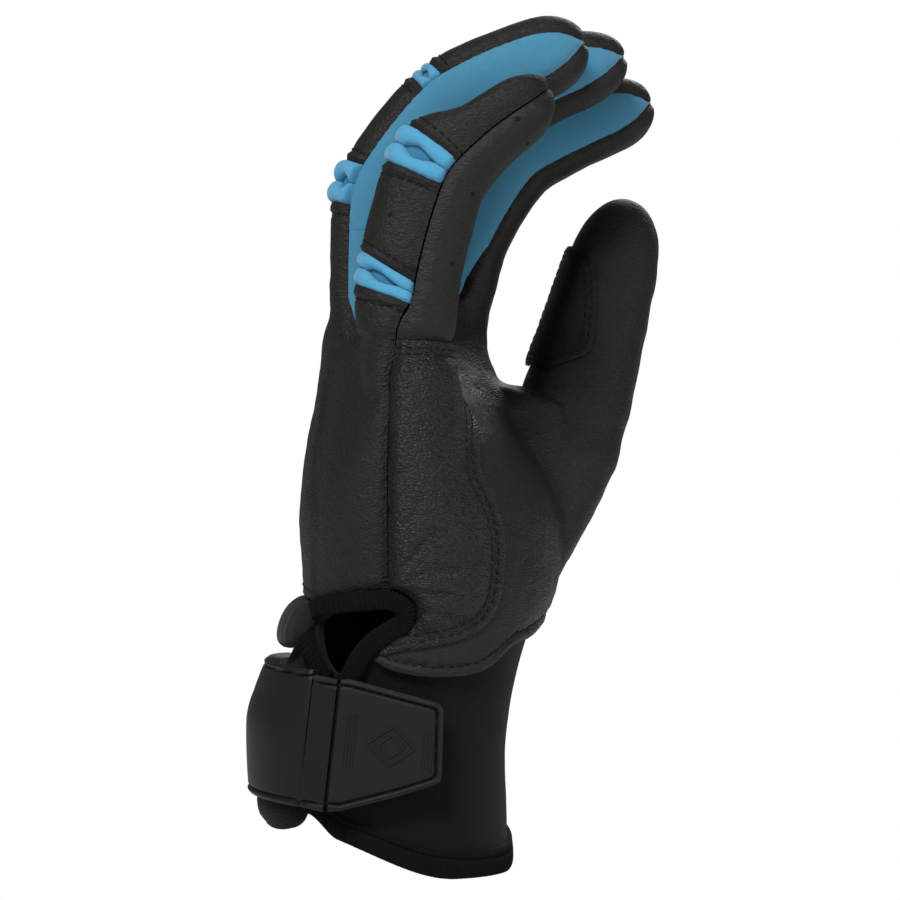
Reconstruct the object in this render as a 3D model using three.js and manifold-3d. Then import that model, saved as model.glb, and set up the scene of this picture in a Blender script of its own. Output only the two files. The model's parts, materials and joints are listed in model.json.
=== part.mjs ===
// A right-hand batting glove, open as if a relaxed hand were in it and seen from the little finger's side.
// Millimetres. +Z runs from the cuff to the fingers, +X points out of the palm and +Y from the little finger
// to the thumb.
// The origin is in the middle of the cuff's mouth, at the level of the lowest point of its hem.
import * as THREE from "three";
import { mergeVertices } from "three/addons/utils/BufferGeometryUtils.js";
import Module from "manifold-3d";

const wasm = await Module();
wasm.setup();

// Materials of the real glove.
const leatherBlack = new THREE.MeshStandardMaterial({ color: 0x2a2b2a, roughness: 0.62, metalness: 0 });
const stretchBlue = new THREE.MeshStandardMaterial({ color: 0x4fa3cf, roughness: 0.85, metalness: 0 });
const stretchBlack = new THREE.MeshStandardMaterial({ color: 0x18191a, roughness: 0.9, metalness: 0 });
const ribBlack = new THREE.MeshStandardMaterial({ color: 0x121212, roughness: 0.95, metalness: 0 });
const rubberBlack = new THREE.MeshStandardMaterial({ color: 0x202122, roughness: 0.55, metalness: 0 });
const hookBlack = new THREE.MeshStandardMaterial({ color: 0x0d0d0d, roughness: 1, metalness: 0 });
const foamGrey = new THREE.MeshStandardMaterial({ color: 0x3c3d3f, roughness: 0.95, metalness: 0 });

// Walls and clearances.
const leather = 1.3; // leather with its lining
const fabric = 1.1; // stretch fabric of the finger sides
const sleeve = 1.5; // stretch fabric of the cuff
const seamGap = 0.3; // between pieces that are sewn or stuck together
const hingeGap = 0.5; // between two segments where they turn
const fingerGap = 1.4; // between neighbouring fingers
const squarenessExponent = 2.5; // of the rounded sections: 2 is an ellipse

// The four fingers. A finger's middle line runs from its root inside the palm through the lower joint, the
// middle segment and the upper joint to the tip, and each stretch turns towards the palm by its own angle.
// kneeX is the middle of the lower joint and kneeRise its height over the web between the ring and middle
// fingers. leanDeg is the line's lean from upright there.
const fingers = {
  pinky: {
    width: 20.5, thickness: 23.4, tipWidth: 17.5, tipThickness: 17.4,
    kneeX: 1.1, kneeRise: 3.3, leanDeg: 5, rootLength: 22, midLength: 25.6, tipLength: 29.5,
    rootTurnDeg: 2, lowerTurnDeg: 8, midTurnDeg: 10, upperTurnDeg: 24, tipTurnDeg: 23,
    tipFlatness: 0.45, // the back of its tip is flatter by this share of half the thickness
  },
  ring: {
    width: 20.5, thickness: 22, tipWidth: 17.5, tipThickness: 17,
    kneeX: -5.2, kneeRise: 27.2, leanDeg: 18, rootLength: 34, midLength: 22.2, tipLength: 34.5,
    rootTurnDeg: 4, lowerTurnDeg: 28, midTurnDeg: 12, upperTurnDeg: 14, tipTurnDeg: 16,
  },
  middle: {
    width: 20.5, thickness: 21.6, tipWidth: 17.5, tipThickness: 16.8,
    kneeX: -3.5, kneeRise: 24.5, leanDeg: 20, rootLength: 30, midLength: 25, tipLength: 40,
    rootTurnDeg: 3, lowerTurnDeg: 30, midTurnDeg: 12, upperTurnDeg: 14, tipTurnDeg: 15,
  },
  index: {
    width: 20.5, thickness: 20.8, tipWidth: 17.5, tipThickness: 16.6,
    kneeX: 14.2, kneeRise: 17.6, leanDeg: 17, rootLength: 22, midLength: 22.5, tipLength: 34,
    rootTurnDeg: 4, lowerTurnDeg: 14, midTurnDeg: 14, upperTurnDeg: 24, tipTurnDeg: 14,
  },
};
const flatteningShare = 0.4; // a flat tip is flat from this share of its length on
const fingerRootShare = 0.88; // a finger narrows by this much towards its root inside the palm
const fingerNames = ["pinky", "ring", "middle", "index"];
const thumb = {
  width: 24, thickness: 28, tipWidth: 20, tipThickness: 20.5, rootShare: 0.66,
  kneeX: 42.5, kneeRise: -21, leanDeg: 16, rootLength: 45, tipLength: 52,
  rootTurnDeg: -12, tipTurnDeg: -1,
  sideShares: [0.46, 0.85, 1.08], // its root, knee and tip stand this far out, of handHalfWidth
};

// A joint opens from rest, towards a flat hand, until its wedge is closed but for a little.
const smallestWedgeDeg = 14;
const wedgeSpareDeg = 2;
const thumbExtensionDeg = 10;

// The palm and the cuff are one rounded sleeve, as wide as the four fingers side by side.
const webHeight = 128; // web between the ring and middle fingers, above the origin
const handDepth = 50; // back of the hand to the palm at its heel
const knuckleSpare = 0.4; // between the outer fingers and the hand's widest line
const archBow = 24.2; // the knuckles lie on an arch: the outer fingers stand further towards the palm
const archLeanShare = 0.167; // and the arch leans, by this much of the distance from the middle
const webClimbShare = 0.25; // the webs climb towards the index finger
const hemDropShare = 0.16; // the cuff's mouth drops towards the palm
const hemSideShare = 0.12; // and towards the little finger's side

// One row per level: height, back, palm on the little finger's side, palm on the thumb's side, half width,
// and how much of the webs' climb, the mouth's slope and the arch applies there. Heights are shares of
// webHeight, the back and the palm are shares of handDepth, and half widths are shares of handHalfWidth.
const levelShares = [
  [-0.09, -0.64, 0.54, 0.54, 0.715, 0, 1, 0],
  [0.02, -0.67, 0.53, 0.53, 0.715, 0, 1, 0],
  [0.11, -0.676, 0.51, 0.51, 0.713, 0, 0.8, 0],
  [0.2, -0.676, 0.5, 0.5, 0.713, 0, 0.5, 0],
  [0.28, -0.65, 0.52, 0.53, 0.725, 0, 0.2, 0],
  [0.36, -0.575, 0.55, 0.6, 0.765, 0, 0, 0],
  [0.43, -0.5, 0.55, 0.69, 0.82, 0, 0, 0],
  [0.49, -0.47, 0.54, 0.8, 0.86, 0, 0, 0],
  [0.62, -0.5, 0.5, 0.82, 0.94, 0, 0, 0],
  [0.735, -0.466, 0.39, 0.68, 0.975, 0.15, 0, 0.2],
  [0.845, -0.405, 0.25, 0.36, 0.975, 0.4, 0, 0.55],
  [0.95, -0.375, 0.12, 0.1, 0.955, 0.8, 0, 0.92],
  [1, -0.37, 0.08, 0.08, 0.945, 1, 0, 1],
];

// The cuff's hem, the V-shaped notch at the wrist and its knitted binding. The tables of [x, z] places from
// here on are shares of handDepth and webHeight.
const hemHeight = 6.4;
const hemLevelShare = 0.012;
const hemThickness = 1.2; // how far the hem stands out of the sleeve
const cuffTopShare = 0.44; // the sleeve runs up to here inside the leather
const cuffLevelShares = [0.13, 0.2, 0.28, 0.36];
const bindingHalfWidth = 1.8;
const bindingThickness = 2.1;
const notchShares = [
  [-0.436, 0.373], [-0.43, 0.418], [-0.392, 0.45], [-0.288, 0.465], [-0.08, 0.476], [-0.01, 0.468],
  [0.018, 0.447], [-0.002, 0.423], [-0.08, 0.402], [-0.158, 0.364],
];

// The lower edges of the leather, from the outside in, and the height where each meets the seam.
const palmHemShares = [[1.2, 0.547], [0.62, 0.398], [0.4, 0.347], [0.22, 0.331]];
const backHemShares = [[-1.2, 0.478], [-0.48, 0.478], [-0.38, 0.456]];
const palmFootShare = 0.359;
const backFootShare = 0.456;

// Seams between the leather of the back and that of the palm: on the little finger's side, across the
// middle of the hand and on the thumb's side.
const seamShares = [
  [[-0.066, 0.828], [-0.024, 0.906], [0.06, 1.012], [0.088, 1.07]],
  [[-0.066, 0.828], [-0.066, 0.906], [-0.04, 1.012], [0, 1.328]],
  [[-0.066, 0.75], [0.14, 0.906], [0.26, 1.016], [0.35, 1.164]],
];

// The forks between the fingers reach this far below the webs, and are this much higher than their web.
const forkDrop = 3;
const webTuck = 5;

// Padded patch on the heel of the palm, with foam under it.
const heelShares = [
  [-0.052, 0.925], [0.22, 0.92], [0.292, 0.911], [0.328, 0.878], [0.34, 0.836], [0.348, 0.778],
  [0.356, 0.706], [0.408, 0.662], [0.452, 0.617], [0.468, 0.562], [0.456, 0.495], [0.416, 0.448],
  [0.336, 0.414], [0.2, 0.395], [0.084, 0.392], [0.092, 0.453], [0.028, 0.487], [-0.052, 0.5],
];
const heelReachShare = -0.39; // of handHalfWidth
const foamMargin = 3.4;
const foamThickness = 1.3;
const patchThickness = 1.2;

// The strap's plate round the back of the wrist, the bar between its two folds and its free end. The strap
// has its own frame: its middle at the first fold, turned about Y so that its folds lean.
const strapLeanDeg = 6.3;
const strapFoldShares = [-0.452, -0.745, 0.222]; // of handDepth, handHalfWidth and webHeight
const strapHeight = 32;
const strapReachShare = 0.529; // how far round the back it runs towards the thumb, of handHalfWidth
const strapRim = 0.8;
const strapRimWidth = 2;
const strapWall = 2.4;
const foldGap = 0.5;
const barWidth = 7;
const barTurnDeg = 29;
const barShares = [[-0.488, 0.469], [-0.5, 0.456]]; // foot and top at the two folds, of strapHeight
const tipShares = [
  [0, 0.456], [0.7, 0.331], [0.769, 0.256], [0.756, -0.206], [0.7, -0.275], [0.406, -0.419], [0, -0.531],
]; // along and across the strap, of strapHeight
const hookThickness = 1.1;
const padMargin = 3.2;
const tabShares = [
  [-0.78, 0.042], [-0.66, 0.027], [-0.512, 0.036], [-0.484, 0.062], [-0.472, 0.312], [-1.2, 0.312],
  [-1.2, 0.042],
];
const tabThickness = 2;
const tabReachShare = 0.276; // of handHalfWidth

// The rolled edge of the cuff across the back of the wrist.
const rollLevelShare = 0.422;
const rollHalfHeight = 5.6;
const rollHalfThickness = 2.9;
const rollReachDeg = [-36, 34]; // from the notch round the back to the thumb's side
const rollBluntExponent = 0.4; // its ends are rounded off over a short way

// Facets.
const weld = 1e-4; // points closer than this are one
const shortestEdge = 0.03;
const flattest = 0.01;
const needlePasses = 12;
const sharpestShare = 0.5; // a sharp corner of an outline is grown no further than this allows
const backCols = 8;
const palmCols = 6;
const sideCols = 3;
const flexRows = 4;
const flexCols = 10;
const around = 24; // round the palm's sleeve
const aroundFinger = 16; // round a finger's root
const aroundThumb = 24;
const patchRows = 5;
const patchCols = 8;
const aroundRoll = 12;
const rollStations = 9;

// The stretch bands over the joints, and the patch inside the thumb.
const flexRidge = 1.5; // height of a flex band's ridges
const flexReachDeg = 132; // how far a flex band reaches round its finger to each side
const flexFadeShare = 0.8; // the ridges fade out round the finger, faster for a larger share
const thumbPatchShares = [0.1, 0.7];
const thumbPatchDegs = [-14, 104];
const overrun = 3 * handDepth; // columns that cut run past the hand by this much

const rad = Math.PI / 180;
const mix = (a, b, share) => a + (b - a) * share;
const eased = (share) => {
  const s = Math.min(1, Math.max(0, share));
  return s * s * (3 - 2 * s);
};
const squared = (value) => Math.sign(value) * Math.abs(value) ** (2 / squarenessExponent);
const superCos = (angle) => squared(Math.cos(angle));
const superSin = (angle) => squared(Math.sin(angle));

// Places across the hand: the fingers lie side by side, each in its own plane of constant Y.
const spanOfFingers = fingerNames.reduce((sum, name) => sum + fingers[name].width, 0) + 3 * fingerGap;
let edgeY = -spanOfFingers / 2;
for (const name of fingerNames) {
  fingers[name].y = edgeY + fingers[name].width / 2;
  edgeY += fingers[name].width + fingerGap;
}
const handHalfWidth = spanOfFingers / 2 + knuckleSpare;

// The [x, z] places that a table of shares stands for.
const placesOf = (shares) => shares.map(([x, z]) => [x * handDepth, z * webHeight]);

// A closed geometry from points and triangles.
function geometryOf(points, triangles) {
  const geometry = new THREE.BufferGeometry();
  geometry.setAttribute("position", new THREE.Float32BufferAttribute(points.flat(), 3));
  geometry.setIndex(triangles.flat());
  return geometry;
}

// A solid through rings of equal count. Each end is closed by a ladder between the ring's two long sides,
// so that a bent ring closes cleanly too.
function loft(rings) {
  const count = rings[0].length;
  const triangles = [];
  for (let i = 0; i < rings.length - 1; i++) {
    for (let j = 0; j < count; j++) {
      const a = i * count + j;
      const b = i * count + ((j + 1) % count);
      triangles.push([a, b, b + count], [a, b + count, a + count]);
    }
  }
  const quarter = count / 4;
  for (const [base, flip] of [[0, true], [(rings.length - 1) * count, false]]) {
    const corner = (j) => base + ((j + count) % count);
    for (let i = 0; i < count / 2; i++) {
      const [low, high] = [corner(quarter - i), corner(quarter + i)];
      const [lowNext, highNext] = [corner(quarter - i - 1), corner(quarter + i + 1)];
      if (low !== high) triangles.push(flip ? [low, lowNext, high] : [lowNext, low, high]);
      if (lowNext !== highNext) triangles.push(flip ? [high, lowNext, highNext] : [lowNext, high, highNext]);
    }
  }
  return geometryOf(rings.flat(), triangles);
}

// A curved plate between an outer and an inner grid of points, rows by columns.
function plate(outer, inner) {
  const rows = outer.length;
  const cols = outer[0].length;
  const points = [...outer.flat(), ...inner.flat()];
  const half = rows * cols;
  const triangles = [];
  const quad = (a, b, c, d) => triangles.push([a, b, c], [a, c, d]);
  for (let i = 0; i < rows - 1; i++) {
    for (let j = 0; j < cols - 1; j++) {
      const a = i * cols + j;
      quad(a, a + 1, a + 1 + cols, a + cols);
      quad(half + a, half + a + cols, half + a + 1 + cols, half + a + 1);
    }
  }
  for (let j = 0; j < cols - 1; j++) {
    const top = (rows - 1) * cols + j;
    quad(j + 1, j, half + j, half + j + 1);
    quad(top, top + 1, half + top + 1, half + top);
  }
  for (let i = 0; i < rows - 1; i++) {
    const a = i * cols;
    const b = a + cols - 1;
    quad(a, a + cols, half + a + cols, half + a);
    quad(b + cols, b, half + b, half + b + cols);
  }
  return geometryOf(points, triangles);
}

// A prism from an outline of [x, z] points, standing between two values of Y.
function prism(outline, yLow, yHigh) {
  const shape = new THREE.Shape(outline.map(([x, z]) => new THREE.Vector2(x, z)));
  const depth = yHigh - yLow;
  const geometry = new THREE.ExtrudeGeometry(shape, { depth, bevelEnabled: false, curveSegments: 1 });
  return geometry.rotateX(Math.PI / 2).translate(0, yHigh, 0);
}

function solid(geometry) {
  const bare = new THREE.BufferGeometry();
  bare.setAttribute("position", geometry.getAttribute("position"));
  if (geometry.index) bare.setIndex(geometry.index);
  const merged = mergeVertices(bare, weld);
  return new wasm.Manifold(
    new wasm.Mesh({
      numProp: 3,
      vertProperties: new Float32Array(merged.attributes.position.array),
      triVerts: new Uint32Array(merged.index.array),
    }),
  );
}

function geometryOfSolid(made) {
  const mesh = made.getMesh();
  const points = Array.from({ length: mesh.vertProperties.length / 3 }, (_, i) => [
    ...mesh.vertProperties.slice(3 * i, 3 * i + 3),
  ]);
  const triangles = Array.from({ length: mesh.triVerts.length / 3 }, (_, i) => [
    ...mesh.triVerts.slice(3 * i, 3 * i + 3),
  ]);
  return geometryOf(points, dropSlivers(points, triangles));
}

const apart = (a, b) => Math.hypot(a[0] - b[0], a[1] - b[1], a[2] - b[2]);

// Cuts leave edges far shorter than anything that shows. Each is closed up to a point, and pairs of
// triangles that then lie back to back go.
function dropSlivers(points, triangles) {
  const owner = points.map((_, i) => i);
  const find = (i) => (owner[i] === i ? i : (owner[i] = find(owner[i])));
  for (const triangle of triangles) {
    for (let k = 0; k < 3; k++) {
      const a = find(triangle[k]);
      const b = find(triangle[(k + 1) % 3]);
      if (a !== b && apart(points[a], points[b]) < shortestEdge) owner[b] = a;
    }
  }
  const kept = new Map();
  for (const triangle of triangles) {
    const corners = triangle.map(find);
    if (new Set(corners).size < 3) continue;
    const key = [...corners].sort((a, b) => a - b).join();
    if (kept.has(key)) kept.delete(key);
    else kept.set(key, corners);
  }
  return turnNeedles(points, [...kept.values()]);
}

// A flat needle of a triangle has its middle corner nearly on its longest edge. That edge is turned, so
// that the needle and its neighbour become two fuller triangles.
function turnNeedles(points, triangles) {
  for (let turned = 1, pass = 0; turned && pass < needlePasses; pass++) {
    turned = 0;
    const edges = new Map();
    triangles.forEach((triangle, i) => {
      triangle.forEach((a, k) => edges.set(`${a} ${triangle[(k + 1) % 3]}`, i));
    });
    const touched = new Set();
    triangles.forEach((triangle, i) => {
      const lengths = triangle.map((a, k) => apart(points[a], points[triangle[(k + 1) % 3]]));
      const longest = lengths.indexOf(Math.max(...lengths));
      const [a, b, c] = [0, 1, 2].map((k) => triangle[(longest + k) % 3]);
      const half = lengths.reduce((sum, length) => sum + length) / 2;
      const heron = lengths.reduce((product, length) => product * (half - length), half);
      const area = Math.sqrt(Math.max(0, heron));
      const other = edges.get(`${b} ${a}`);
      if ((2 * area) / lengths[longest] > flattest || touched.has(i) || touched.has(other)) return;
      const d = triangles[other].find((corner) => corner !== a && corner !== b);
      if (edges.has(`${c} ${d}`) || edges.has(`${d} ${c}`)) return;
      triangles[i] = [a, d, c];
      triangles[other] = [d, b, c];
      for (const near of [i, other]) touched.add(near);
      for (const [p, q] of [[a, b], [b, a]]) edges.delete(`${p} ${q}`);
      for (const turnedOne of [i, other]) {
        triangles[turnedOne].forEach((p, k) => edges.set(`${p} ${triangles[turnedOne][(k + 1) % 3]}`, turnedOne));
      }
      turned++;
    });
  }
  return triangles;
}

const union = (solids) => solids.reduce((sum, next) => sum.add(next));
const biggest = (made) => made.decompose().sort((a, b) => b.volume() - a.volume())[0];

// The middle line of a digit: stretches of [length, turn] in the XZ plane. Stretch number knee is the
// joint that the digit is placed by, and the line runs both ways from its middle.
function digitPath(digit, stretches, knee) {
  const radians = stretches.map(([length, turnDeg]) => ({ length, turn: turnDeg * rad }));
  let at = { x: digit.kneeX, z: webHeight + digit.kneeRise, tilt: digit.leanDeg * rad };
  at = walk({ ...at, ...radians[knee] }, -radians[knee].length / 2);
  for (const stretch of radians.slice(0, knee).reverse()) at = walk({ ...at, ...stretch }, -stretch.length);
  const starts = [];
  let from = 0;
  for (const stretch of radians) {
    starts.push({ ...stretch, ...at, from });
    at = walk(starts.at(-1), stretch.length);
    from += stretch.length;
  }
  return { starts, length: from };
}

// A point on a circular stretch.
function walk(stretch, distance) {
  const turned = stretch.length ? (stretch.turn * distance) / stretch.length : 0;
  const chord = Math.abs(turned) < 1e-6 ? distance : (distance * Math.sin(turned / 2)) / (turned / 2);
  const heading = stretch.tilt + turned / 2;
  return {
    x: stretch.x + chord * Math.sin(heading),
    z: stretch.z + chord * Math.cos(heading),
    tilt: stretch.tilt + turned,
  };
}

function alongPath(path, t) {
  const stretch = path.starts.findLast((s) => t >= s.from) ?? path.starts[0];
  return walk(stretch, t - stretch.from);
}

// A point on a digit's skin. The angle is 0 on its back and 90 degrees on the little finger's side; inset
// shrinks the section, and taper closes the tip.
function skinPoint(digit, t, angle, inset, taper = 1) {
  const tipStart = digit.path.starts.at(-1).from;
  const tipShare = Math.max(0, (t - tipStart) / (digit.path.length - tipStart));
  const reach = t > tipStart ? tipStart + (t - tipStart) * (1 - inset / digit.tipLength) : t;
  const at = alongPath(digit.path, reach);
  const root = mix(digit.rootShare ?? fingerRootShare, 1, Math.min(1, t / digit.rootLength));
  const halfThickness = ((mix(digit.thickness, digit.tipThickness, tipShare) / 2) * root - inset) * taper;
  const halfWidth = ((mix(digit.width, digit.tipWidth, tipShare) / 2) * root - inset) * taper;
  const flatness = (digit.tipFlatness ?? 0) * eased(tipShare / flatteningShare) * Math.max(0, superCos(angle));
  const up = superCos(angle) * halfThickness * (1 - flatness);
  const y = digit.yAt ? digit.yAt(t) : digit.y;
  return [at.x - Math.cos(at.tilt) * up, y - superSin(angle) * halfWidth, at.z + Math.sin(at.tilt) * up];
}

// The joints of a finger. Each hinge line lies on the palm's skin, where the leather folds, and a wedge
// opens from it towards the back, which a flex band bridges. An edge gives how far along the middle line a
// segment's end lies at each angle round the finger.
function jointOf(digit, start, turnDeg, wedgeDeg, hingeAngle) {
  const radius = digit.thickness / 2;
  const length = radius * turnDeg * rad + hingeGap;
  const slope = Math.tan(((wedgeDeg - turnDeg) / 2) * rad);
  const rise = (angle) => slope * radius * (1 - superCos(angle - hingeAngle));
  const width = (angle) => hingeGap + radius * wedgeDeg * rad * (1 - superCos(angle - hingeAngle));
  const before = (angle) => start - rise(angle);
  const after = (angle) => start + length + rise(angle);
  return { length, before, after, width, at: start + length / 2, angle: hingeAngle };
}

const jointLength = (digit, turnDeg) => (digit.thickness / 2) * turnDeg * rad + hingeGap;
for (const name of fingerNames) {
  const finger = fingers[name];
  const { rootLength, midLength, tipLength, lowerTurnDeg, upperTurnDeg } = finger;
  const upperStart = rootLength + jointLength(finger, lowerTurnDeg) + midLength;
  const stretches = [
    [rootLength, finger.rootTurnDeg],
    [jointLength(finger, lowerTurnDeg), lowerTurnDeg],
    [midLength, finger.midTurnDeg],
    [jointLength(finger, upperTurnDeg), upperTurnDeg],
    [tipLength, finger.tipTurnDeg],
  ];
  finger.path = digitPath(finger, stretches, 1);
  const wedge = (turnDeg) => Math.max(turnDeg, smallestWedgeDeg);
  finger.lower = jointOf(finger, rootLength, lowerTurnDeg, wedge(lowerTurnDeg), Math.PI);
  finger.upper = jointOf(finger, upperStart, upperTurnDeg, wedge(upperTurnDeg), Math.PI);
}

// The thumb turns at its web, on the side that faces the fingers, and its wedge opens on the far side.
thumb.path = digitPath(
  thumb,
  [
    [thumb.rootLength, thumb.rootTurnDeg],
    [hingeGap, 0],
    [thumb.tipLength, thumb.tipTurnDeg],
  ],
  1,
);
const [thumbRootY, thumbKneeY, thumbTipY] = thumb.sideShares.map((share) => share * handHalfWidth);
thumb.yAt = (t) =>
  t < thumb.rootLength
    ? mix(thumbRootY, thumbKneeY, t / thumb.rootLength)
    : mix(thumbKneeY, thumbTipY, (t - thumb.rootLength) / (thumb.path.length - thumb.rootLength));
thumb.lower = jointOf(thumb, thumb.rootLength, 0, thumbExtensionDeg + wedgeSpareDeg, 0);

// Rows along a segment: shares of its length, and for a tip the taper that closes it.
const straightRows = (count) => Array.from({ length: count + 1 }, (_, i) => ({ share: i / count, taper: 1 }));
const roundStartShare = 0.68;
const roundDegs = [0, 30, 54, 74, 87];
const tipRows = [
  { share: 0, taper: 1 },
  { share: roundStartShare / 3, taper: 1 },
  { share: (2 * roundStartShare) / 3, taper: 1 },
  ...roundDegs.map((deg) => ({
    share: roundStartShare + (1 - roundStartShare) * Math.sin(deg * rad),
    taper: Math.cos(deg * rad),
  })),
];

// A panel of a digit between two edges and two seams. A seam is a function of the row's share.
function plateOf(digit, from, to, rows, cols, seamA, seamB, outset, inset) {
  const spare = (seamGap / 2) / (digit.tipThickness / 2);
  const grid = (depth) =>
    rows.map((row) =>
      Array.from({ length: cols + 1 }, (_, j) => {
        const angle = mix(seamA(row.share) + spare, seamB(row.share) - spare, j / cols);
        const t = mix(from(angle), to(angle), row.share);
        return skinPoint(digit, t, angle, depth, row.taper);
      }),
    );
  return plate(grid(-outset), grid(inset));
}

// Seams round a finger, in degrees from its back. Between fingers a stretch side panel lies between two
// seams, and it narrows to a point at the fingertip; the outer sides have one seam.
const sideHalfDeg = 32;
const ulnarSeamDeg = 98;
const sideShares = [1, 1, 1, 0.92, 0.68, 0.3, 0, 0];
const sideRows = 6; // rows of the tip that a side panel covers
const sideHalf = (share, isTip) => {
  if (!isTip) return sideHalfDeg;
  const at = tipRows.findIndex((row) => Math.abs(row.share - share) < 1e-9);
  return sideHalfDeg * sideShares[at];
};
const hasSide = { pinky: [false, true], ring: [true, true], middle: [true, true], index: [true, false] };

function seamsOf(name, isTip) {
  const [ulnar, radial] = hasSide[name];
  const half = (share) => sideHalf(share, isTip);
  return {
    backUlnar: (share) => (ulnar ? 90 - half(share) : ulnarSeamDeg) * rad,
    backRadial: (share) => -(radial ? 90 - half(share) : ulnarSeamDeg) * rad,
    palmUlnar: (share) => (ulnar ? 90 + half(share) : ulnarSeamDeg) * rad,
    palmRadial: (share) => (360 - (radial ? 90 + half(share) : ulnarSeamDeg)) * rad,
  };
}

const glove = new THREE.Group();
function piece(name, geometry, material) {
  const mesh = new THREE.Mesh(geometry, material);
  mesh.name = name;
  glove.add(mesh);
}

// A point on the palm's sleeve, grown outwards. The angle is 0 on the back, 90 degrees on the little
// finger's side.
function sleevePoint(level, angle, grow) {
  const [h, back, palmUlnar, palmRadial, halfWidth, webPart, hemPart, archPart] = level;
  const across = -superSin(angle);
  const y = across * (halfWidth * handHalfWidth + grow);
  const palm = mix(palmUlnar, palmRadial, (across + 1) / 2) * handDepth + grow;
  const archY = Math.sign(y) * Math.min(Math.abs(y), fingers.index.y);
  const arch = archPart * (archLeanShare * archY + archBow * (archY / handHalfWidth) ** 2);
  const x = mix(back * handDepth - grow, palm, (1 - superCos(angle)) / 2) + arch;
  const z = h * webHeight + webPart * webClimbShare * y + hemPart * (hemSideShare * y - hemDropShare * x);
  return [x, y, z];
}

function sleeveRing(level, grow) {
  return Array.from({ length: around }, (_, j) => sleevePoint(level, (2 * Math.PI * j) / around, grow));
}

// The whole sleeve as a solid, grown by some amount and closed a little above its topmost level.
function handLoft(grow, rise = grow) {
  const rings = levelShares.map((level) => sleeveRing(level, grow));
  for (const point of rings.at(-1)) point[2] += rise;
  return solid(loft(rings));
}

// A ring at any height share, between the rows of the table.
function levelAt(share) {
  const above = levelShares.findIndex((level) => level[0] > share);
  const [low, high] = [levelShares[above - 1], levelShares[above]];
  return low.map((value, k) => mix(value, high[k], (share - low[0]) / (high[0] - low[0])));
}

// The root of a digit as a closed tube that starts inside the palm, up to its edge at the first joint.
function rootTube(digit, grow, past) {
  const steps = 4;
  const rings = Array.from({ length: steps + 1 }, (_, i) =>
    Array.from({ length: aroundFinger }, (_, j) => {
      const angle = (2 * Math.PI * j) / aroundFinger;
      const end = digit.lower.before(angle) + (i === steps ? past : 0);
      return skinPoint(digit, mix(Math.max(0, -grow), end, i / steps), angle, -grow);
    }),
  );
  return solid(loft(rings));
}

const digits = [...fingerNames.map((name) => fingers[name]), thumb];
const handSkin = (grow) => union([handLoft(grow), ...digits.map((digit) => rootTube(digit, grow, 0))]);
const hollow = union([handLoft(-leather), ...digits.map((digit) => rootTube(digit, -leather, 2 * hingeGap))]);
const shell = handSkin(0).subtract(hollow);

// An outline of [x, z] points grown outwards all round.
function growOutline(outline, grow) {
  const count = outline.length;
  const area = outline.reduce((sum, [x, z], i) => {
    const [nextX, nextZ] = outline[(i + 1) % count];
    return sum + x * nextZ - nextX * z;
  }, 0);
  const side = Math.sign(area) * grow;
  return outline.map((at, i) => {
    const before = outline[(i + count - 1) % count];
    const after = outline[(i + 1) % count];
    const first = unit(at[0] - before[0], at[1] - before[1]);
    const second = unit(after[0] - at[0], after[1] - at[1]);
    const normal = unit(first[1] + second[1], -first[0] - second[0]);
    const stretch = side / Math.max(sharpestShare, normal[0] * first[1] - normal[1] * first[0]);
    return [at[0] + normal[0] * stretch, at[1] + normal[1] * stretch];
  });
}

function unit(x, z) {
  const size = Math.hypot(x, z);
  return [x / size, z / size];
}

// A strip of some half width along a line of [x, z] points.
function stripOutline(line, halfWidth) {
  const sides = line.map((at, i) => {
    const before = line[Math.max(0, i - 1)];
    const after = line[Math.min(line.length - 1, i + 1)];
    const [x, z] = unit(after[0] - before[0], after[1] - before[1]);
    return [[at[0] - z * halfWidth, at[1] + x * halfWidth], [at[0] + z * halfWidth, at[1] - x * halfWidth]];
  });
  return [...sides.map((pair) => pair[0]), ...sides.map((pair) => pair[1]).reverse()];
}

const column = (outline, yLow = -overrun, yHigh = overrun) => solid(prism(outline, yLow, yHigh));

// The forks between the fingers: a strip along each finger's side and over the web. The cut in the leather
// is wider by the seam's gap.
const sideShare = superCos((90 - sideHalfDeg) * rad);

function forkStrip(finger, bottom, grow, yLow, yHigh) {
  const { path, rootLength } = finger;
  const reach = (finger.thickness / 2) * sideShare + grow;
  const stations = [0, 1, 2, 3].map((i) => {
    const start = Math.max(0, rootLength - (alongPath(path, rootLength).z - bottom));
    const at = alongPath(path, mix(start, rootLength, i / 3));
    return { ...at, z: i === 0 ? bottom - grow : at.z + (i === 3 ? overrun : 0) };
  });
  const side = (way) => stations.map((at) => [at.x + way * Math.cos(at.tilt) * reach, at.z]);
  return column([...side(1), ...side(-1).reverse()], yLow, yHigh);
}

function forkSolid(index, grow) {
  const lower = fingers[fingerNames[index]];
  const upper = fingers[fingerNames[index + 1]];
  const middle = (lower.y + lower.width / 2 + upper.y - upper.width / 2) / 2;
  const bottom = webHeight + webClimbShare * middle - forkDrop;
  const reach = (lower.thickness / 2) * sideShare + grow;
  const ends = [lower, upper].map((finger) => alongPath(finger.path, finger.rootLength).x);
  const [lowX, highX] = ends.sort((p, q) => p - q);
  const [left, right] = [lowX - reach, highX + reach];
  const [foot, top] = [bottom - grow, bottom + webTuck];
  const web = [[left, foot], [right, foot], [right, top], [left, top]];
  return union([
    forkStrip(lower, bottom, grow, lower.y, middle + hingeGap),
    forkStrip(upper, bottom, grow, middle - hingeGap, upper.y),
    column(web, middle - fingerGap - grow, middle + fingerGap + grow),
  ]);
}

const forkCuts = union([0, 1, 2].map((i) => forkSolid(i, seamGap)));
const forkOwners = ["fork_pinky_ring", "fork_ring_middle", "fork_middle_index"];

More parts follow.
